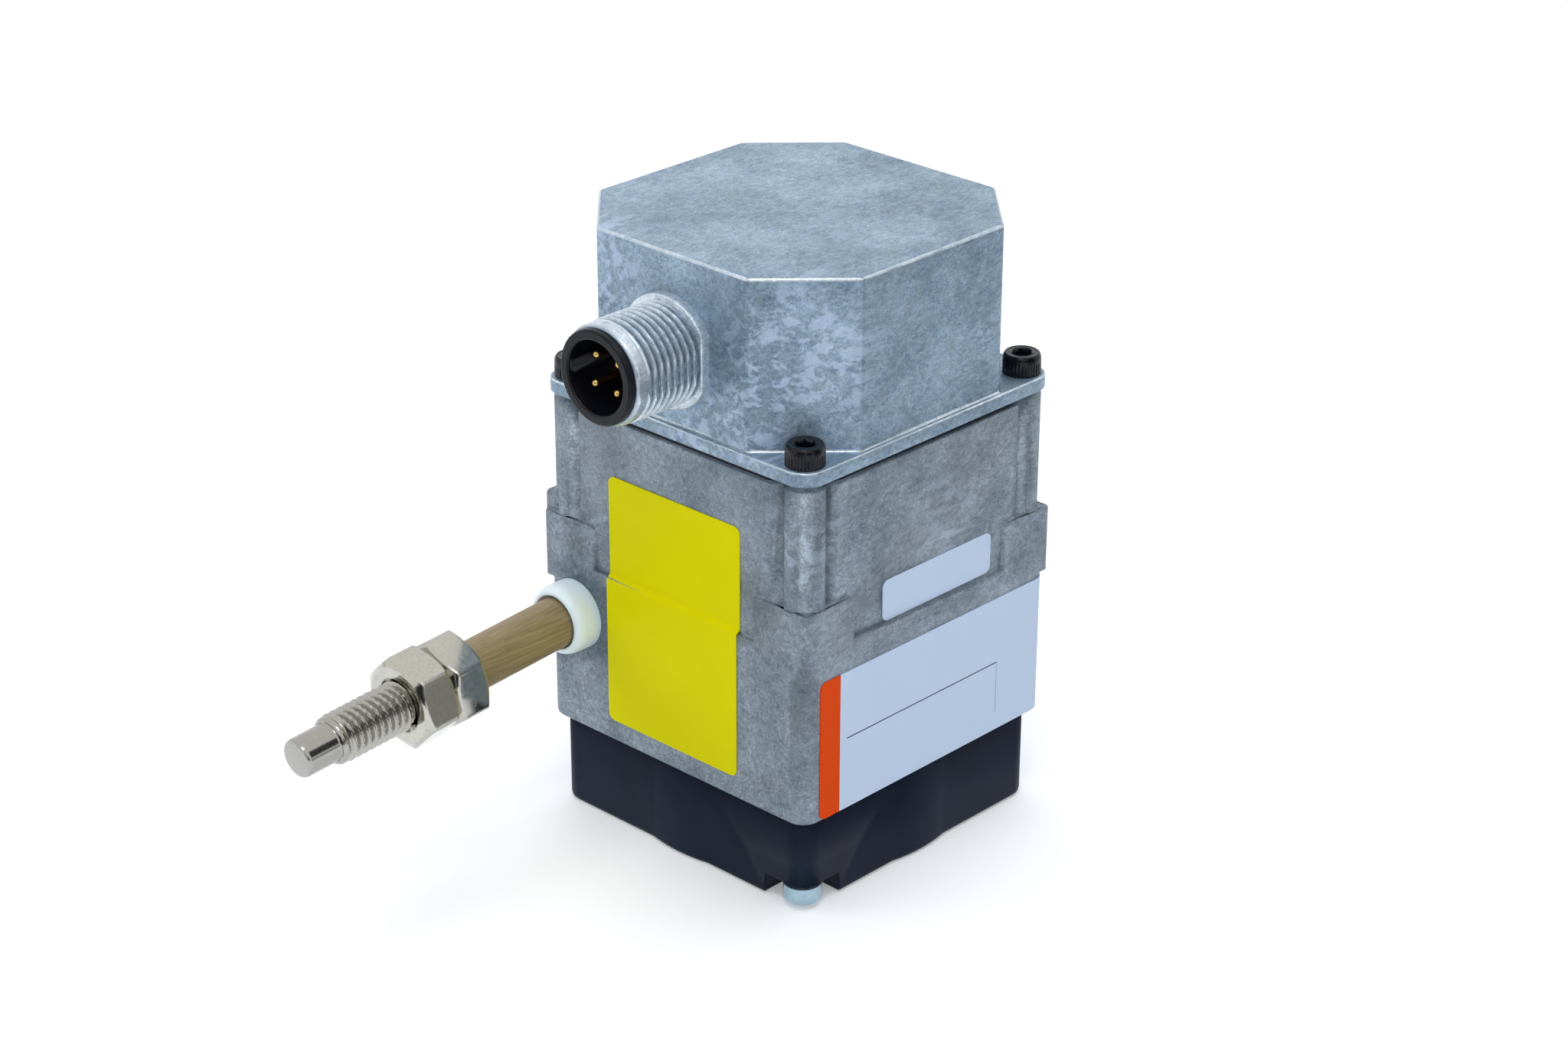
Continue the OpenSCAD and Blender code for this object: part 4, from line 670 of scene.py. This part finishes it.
# %% Posts that hold the circuit board under the roof
POST_POS, POST_R = 12.75, 1.8
posts = []
for x in (-POST_POS, POST_POS):
    for y in (-POST_POS, POST_POS):
        post_s, post_r = np.array([71.95, 71.95, 74.5, 74.5]), np.array([0, POST_R, POST_R, 0])
        posts.append(grid_round("board_posts", axis_frame((x, y, 0), (0, 0, 1), (1, 0, 0)), post_s, np.repeat(post_r[:, None], 48, 1), cover_zinc))
with bpy.context.temp_override(active_object=posts[0], selected_editable_objects=posts, object=posts[0], selected_objects=posts):
    bpy.ops.object.join()
hand_over(posts[0], "housing", "cast_zinc")

# %% [markdown]
# ## The plug's cast thread
# The plug is a round stub of the casting with an M12 thread of 1 mm pitch and a collar at its foot.
# Two flats run along its sides, where the halves of the mould part, and there the ridges end in
# pointed wedges. A thread is a height that depends on the station along the axis minus the share of
# a turn, and the flats are a second surface. The smaller of the two is the shape.

# %% Plug
COVER_FACE, PLUG_Z = -20.45, 64.05
plug_place = axis_frame((0, COVER_FACE, PLUG_Z), (0, -1, 0), (1, 0, 0))
PLUG_CREST, PLUG_ROOT, PLUG_FLAT, PLUG_BORE, PITCH = 6.0, 5.45, 5.7, 5.17, 1.0
COLLAR_R, COLLAR_FLAT, COLLAR_L = 6.7, 5.85, 1.2
FIRST_CREST = 1.9
angle = column_angles(240)
thread_end, tube_end = 9.4, 10.8
sideways = np.maximum(np.abs(np.cos(angle)), 0.2)
collar_s = np.array([-0.9, 0, 0.6, COLLAR_L - 0.18, COLLAR_L - 0.06, COLLAR_L])
collar_r = np.minimum(COLLAR_R, COLLAR_FLAT / sideways) - np.array([0, 0, 0, 0, 0.06, 0.18])[:, None]
along = np.concatenate([np.linspace(COLLAR_L + 0.02, thread_end + 0.4, 190, endpoint=False), np.linspace(thread_end + 0.4, tube_end - 0.45, 6), [tube_end - 0.2, tube_end - 0.06, tube_end]])
ridge = PLUG_ROOT + (PLUG_CREST - PLUG_ROOT) * thread_height((along[:, None] - FIRST_CREST) / PITCH - angle / (2 * pi), 0.16, 0.3)
# the ridge starts behind the collar and runs out into the plain front ring
run_out = np.clip((along - thread_end + 0.7) / 0.7, 0, 1)[:, None]
ridge = ridge * (1 - run_out) + 5.88 * run_out
front_ring = np.interp(along, [0, tube_end - 0.45, tube_end - 0.2, tube_end - 0.06, tube_end], [9, 5.88, 5.74, 5.62, 5.45])[:, None]
radii = soft_min(np.minimum(ridge, front_ring), np.broadcast_to(PLUG_FLAT / sideways, ridge.shape), 0.015)
bore_s = np.array([tube_end, tube_end - 0.3, 6.0, -0.9])
bore_r = np.broadcast_to(np.array([5.2, PLUG_BORE, PLUG_BORE, PLUG_BORE])[:, None], (4, len(angle)))
plug_thread = grid_round("plug_thread", plug_place, np.concatenate([collar_s, along, bore_s]), np.concatenate([collar_r, radii, bore_r]), thread_zinc, closed_rows=True)
hand_over(plug_thread, "housing", "cast_zinc")

# %% [markdown]
# ## Insert and contacts
# The black insert closes the plug: a socket with a coding rib that only fits one way, and four gold
# plated pins set back behind its rim. The rim's edges are moulded round, so it gets a rounded copy.

# %% Insert
insert = rounded_copy("contact_insert", "contact_insert_moulding", [(0.3, lambda x, y, z, up: at(y, COVER_FACE - 11.7))])
hand_over(insert, "housing", "insert_plastic", "contact_insert")

# %% [markdown]
# ## Socket head screws
# The cover is held by four screws with round heads. The sides of a head are knurled for the
# fingers, its upper edge is turned round, and a hexagon socket is pressed into the top. All of it is
# one grid: the radius follows the knurl on the side and the hexagon in the socket. The screws
# below have smooth heads with a broad rounded edge.

# %% Screws from one profile
SCREW_POS = 18.25
HEAD_R, HEAD_H, SHANK_R, SOCKET_HALF = 2.25, 2.5, 1.22, 1.0


def head_screw(name, place, corners, shank_l, head_h, knurl, edge_in, edge_back, material, slot_name, node_name, socket_depth):
    """Screws at the given corners as one piece. place(x, y) gives the frame of a screw, whose axis
    points out of the head. knurl is the depth of the knurl. The head's edge is a quarter of an
    ellipse, edge_in wide and edge_back long."""
    count = 180
    angle = column_angles(count)
    ridges = 30
    side = np.linspace(0.0, head_h - edge_back, 7)
    turn = np.radians(np.linspace(0, 90, 9))
    round_s = head_h - edge_back + edge_back * np.sin(turn[1:])
    round_r = HEAD_R - edge_in + edge_in * np.cos(turn[1:])
    mouth = SOCKET_HALF + 0.28
    rows = [(-shank_l, 0.0, 0), (-shank_l, SHANK_R, 0), (0.0, SHANK_R, 0), (0.0, HEAD_R - 0.12, 0)]
    rows += [(s + 0.06 if i == 0 else s, HEAD_R, 1 if 0 < i < 6 else 0.3) for i, s in enumerate(side)]
    rows += [(s, r, 0) for s, r in zip(round_s, round_r)]
    rows += [(head_h - 0.05, HEAD_R - edge_in - 0.12, 0), (head_h - 0.08, mouth + 0.12, 0), (head_h - 0.02, mouth, 0), (head_h - 0.08, mouth - 0.1, 0), (head_h - 0.3, 0, 2), (head_h - socket_depth, 0, 2), (head_h - socket_depth - 0.25, 0.0, 0)]
    stations = np.array([r[0] for r in rows])
    radii = np.zeros((len(rows), count))
    grooves = knurl * (0.5 - 0.5 * np.cos(ridges * angle)) ** 2
    socket = np.minimum(hexagon_radius(angle, SOCKET_HALF), 1.13 * SOCKET_HALF)
    for i, (_, r, kind) in enumerate(rows):
        radii[i] = socket if kind == 2 else r - grooves * kind
    made = [grid_round(name, place(x, y), stations, radii, material) for x, y in corners]
    with bpy.context.temp_override(active_object=made[0], selected_editable_objects=made, object=made[0], selected_objects=made):
        bpy.ops.object.join()
    made[0].name = name
    return hand_over(made[0], "housing", slot_name, node_name)


def upper_screw_place(x, y):
    return axis_frame((x * SCREW_POS, y * SCREW_POS, 55.15), (0, 0, 1), (1, 0.3, 0))


def lower_screw_place(x, y):
    return axis_frame((x * SCREW_POS, y * SCREW_POS, 2.8), (0, 0, -1), (1, 0.2, 0))


head_screw("cover_cap_screws", upper_screw_place, [(-1, -1), (-1, 1), (1, -1), (1, 1)], 12, HEAD_H, 0.09, 0.36, 0.85,
           black_oxide, "black_oxide_steel", "cover_screws", 1.3)
head_screw("lower_cap_screws", lower_screw_place, [(1, -1), (-1, 1)], 16.7, 2.2, 0.0, 0.4, 0.55,
           blue_zinc, "zinc_plated_steel", "spring_housing_screws", 1.1)

# %% [markdown]
# ## The wire's outlet
# The bush is turned from white acetal with a well rounded nose, so that the wire never rubs on an
# edge. It is a closed ring: the outside, the rounded nose, the mouth that takes the sleeve's end,
# and the small hole for the wire.

# %% Outlet bush
bush_place = axis_frame((-15.95, -21, 26.3), (0, -1, 0), (1, 0, 0))
BUSH_R, BUSH_OUT = 4.3, 3.5
NOSE_BACK, NOSE_IN = 1.5, 0.8
turn = np.radians(np.linspace(0, 90, 12))
nose_s = BUSH_OUT - NOSE_BACK * (1 - np.sin(turn))
nose_r = BUSH_R - NOSE_IN * (1 - np.cos(turn))
bush_s = np.concatenate([[-4.5, -4.5, -1.5, -1.5], nose_s, [BUSH_OUT - 0.02, BUSH_OUT - 0.15, 2.2, 2.2, 2.2]])
bush_r = np.concatenate([[0.6, 3.05, 3.05, BUSH_R], nose_r, [3.36, 3.3, 3.3, 2.0, 0.6]])
bush = grid_round("outlet_bush", bush_place, bush_s, np.repeat(bush_r[:, None], 96, 1), white_acetal, closed_rows=True)
hand_over(bush, "housing", "white_acetal", "wire_outlet")

# %% [markdown]
# ## The wire's end
# Outside the bush the wire carries a brown stop sleeve, two plated hexagon nuts and a threaded
# stud with a plain tip. With the wire drawn in they hang a few degrees below level. All of them
# share one axis, so one frame places them, and each piece is a grid round it.

# %% Sleeve
end_place = axis_frame((-15.95, -23.2, 26.3), (0, -cos(DROOP), -sin(DROOP)), (1, 0, 0))
SLEEVE_R, SLEEVE_BORE = 3.05, 2.05
sleeve_s, sleeve_r = filled_profile([(0.3, SLEEVE_BORE), (0.3, SLEEVE_R - 0.2), (0.38, SLEEVE_R - 0.06), (0.55, SLEEVE_R), (15.8, SLEEVE_R), (15.9, SLEEVE_R - 0.1), (15.9, SLEEVE_BORE)], [2, 1, 1, 12, 1, 2])
sleeve = grid_round("stop_sleeve", end_place, sleeve_s, np.repeat(sleeve_r[:, None], 96, 1), brown_peek, closed_rows=True)
hand_over(sleeve, "wire_end", "brown_sleeve", "end_stop_sleeve")

# %% [markdown]
# A nut is a hexagon cut by a cone at each end. Where the cone meets the flats it leaves the curved
# lines that everyone knows from a nut. The grid takes the smaller of the two radii, with a slightly
# soft hand-over, because plating rounds every edge.

# %% Nuts
NUT_HALF, NUT_T, NUT_BORE = 5.0, 4.75, 2.7
NUT_TURNS = {"front_nut": radians(44), "rear_nut": radians(35)}
NUT_STARTS = {"rear_nut": 15.9, "front_nut": 20.65}
CHAMFER_FACE = 4.6
for nut_name, turn_of_nut in NUT_TURNS.items():
    count = 360
    angle = column_angles(count)
    edge = np.concatenate([np.linspace(0, 0.9, 26) ** 1.0, [1.2, 1.8]])
    side_s = np.concatenate([edge, NUT_T - edge[::-1]])
    cone = CHAMFER_FACE + np.minimum(side_s, NUT_T - side_s) / tan(radians(30))
    hexagon = np.minimum(hexagon_radius(angle, NUT_HALF, turn_of_nut), 2 * NUT_HALF / sqrt(3) - 0.1)
    side_r = soft_min(np.broadcast_to(hexagon, (len(side_s), count)), np.broadcast_to(cone[:, None], (len(side_s), count)), 0.035)
    face = [(NUT_T, 4.5), (NUT_T, 3.35), (NUT_T - 0.6, NUT_BORE), (0.6, NUT_BORE), (0.0, 3.35), (0.0, 4.5)]
    stations = np.concatenate([side_s, [s for s, _ in face]]) + NUT_STARTS[nut_name]
    radii = np.concatenate([side_r, np.repeat(np.array([r for _, r in face])[:, None], count, 1)])
    nut = grid_round(nut_name + "_plated", end_place, stations, radii, bright_nickel, closed_rows=True)
    hand_over(nut, "wire_end", "nickel_plated_nut", nut_name)

# %% [markdown]
# The stud's thread is M6 with 1 mm pitch, rolled between hardened dies. Its ridge climbs one pitch
# per turn, so the height is a function of the station minus the angle. The ridge starts at the front
# nut and runs out before the shoulder, where the plain tip begins. The tip's small hole across it is not drawn.

# %% Stud
STUD_CREST, STUD_ROOT = 3.0, 2.44
THREAD_START, THREAD_END = 25.3, 35.6
TIP_R, TIP_END = 2.35, 40.3
columns = 120
angle = column_angles(columns)
thread_s = np.linspace(THREAD_START, THREAD_END - 0.35, 190)
ridge = STUD_ROOT + (STUD_CREST - STUD_ROOT) * thread_height((thread_s[:, None] - 26.1) / PITCH - angle[None, :] / (2 * pi))
run_out = np.clip((thread_s - (THREAD_END - 1.25)) / 0.7, 0, 1)[:, None]
ridge = ridge * (1 - run_out) + 2.86 * run_out
before = [(10.9, 0.0), (10.9, 2.0), (15.9, 2.0), (15.9, 2.5), (THREAD_START - 0.1, 2.5)]
after = [(THREAD_END - 0.12, 2.72), (THREAD_END, 2.6), (THREAD_END + 0.02, 2.42), (THREAD_END + 0.2, TIP_R), (THREAD_END + 0.24, TIP_R), (TIP_END - 0.54, TIP_R), (TIP_END - 0.5, TIP_R), (TIP_END - 0.16, TIP_R - 0.14), (TIP_END - 0.02, TIP_R - 0.42), (TIP_END, TIP_R - 0.55), (TIP_END, 0.0)]
stud_s = np.concatenate([[s for s, _ in before], thread_s, [s for s, _ in after]])
stud_r = np.concatenate([np.repeat(np.array([r for _, r in before])[:, None], columns, 1), ridge, np.repeat(np.array([r for _, r in after])[:, None], columns, 1)])
stud = grid_round("stud_with_thread", end_place, stud_s, stud_r, rolled_stainless)
stud.data.materials.append(turned_stainless)
plain = np.array([np.dot(np.array(p.center) / MM - end_place[0], end_place[1]) > THREAD_END - 0.5 for p in stud.data.polygons])
stud.data.polygons.foreach_set("material_index", plain.astype(np.int32))
hand_over(stud, "wire_end", "stainless_steel", "threaded_stud")

# %% [markdown]
# ## The draw wire
# The wire runs from the drum through the bush into the sleeve. When the stud is pulled, only the
# stretch behind the sleeve gets longer. Here the wire is one thin tube, straight out to the sleeve
# and then along the sleeve's drooping axis.

# %% Wire
WIRE_R = 0.25
straight = np.array([(-15.95, y, 26.3) for y in np.linspace(0, -23.2, 40, endpoint=False)])
hanging = end_place[0] + np.linspace(0, 15.4, 60)[:, None] * end_place[1]
path = np.concatenate([straight, hanging])
sides = 12
wire_angle = column_angles(sides)
ring = np.stack([np.cos(wire_angle), np.zeros(sides), np.sin(wire_angle)], -1) * WIRE_R
wire_points = (path[:, None, :] + ring[None, :, :]) * MM
i, j = np.meshgrid(np.arange(len(path) - 1), np.arange(sides), indexing="ij")
m = (j + 1) % sides
wire_faces = np.stack([i * sides + j, (i + 1) * sides + j, (i + 1) * sides + m, i * sides + m], -1).reshape(-1, 4).tolist()
last = (len(path) - 1) * sides
wire_faces += [list(range(sides)), [last + n for n in range(sides)][::-1]]
wire_mesh = bpy.data.meshes.new("draw_wire_strand")
wire_mesh.from_pydata(wire_points.reshape(-1, 3).tolist(), [], wire_faces)
weld(wire_mesh, join_flat=False)
wire_mesh.materials.append(finishes["stainless_wire"])
wire = bpy.data.objects.new("draw_wire_strand", wire_mesh)
scene.collection.objects.link(wire)
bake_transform(wire)
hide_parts("draw_wire")
print("wire rings:", len(path))
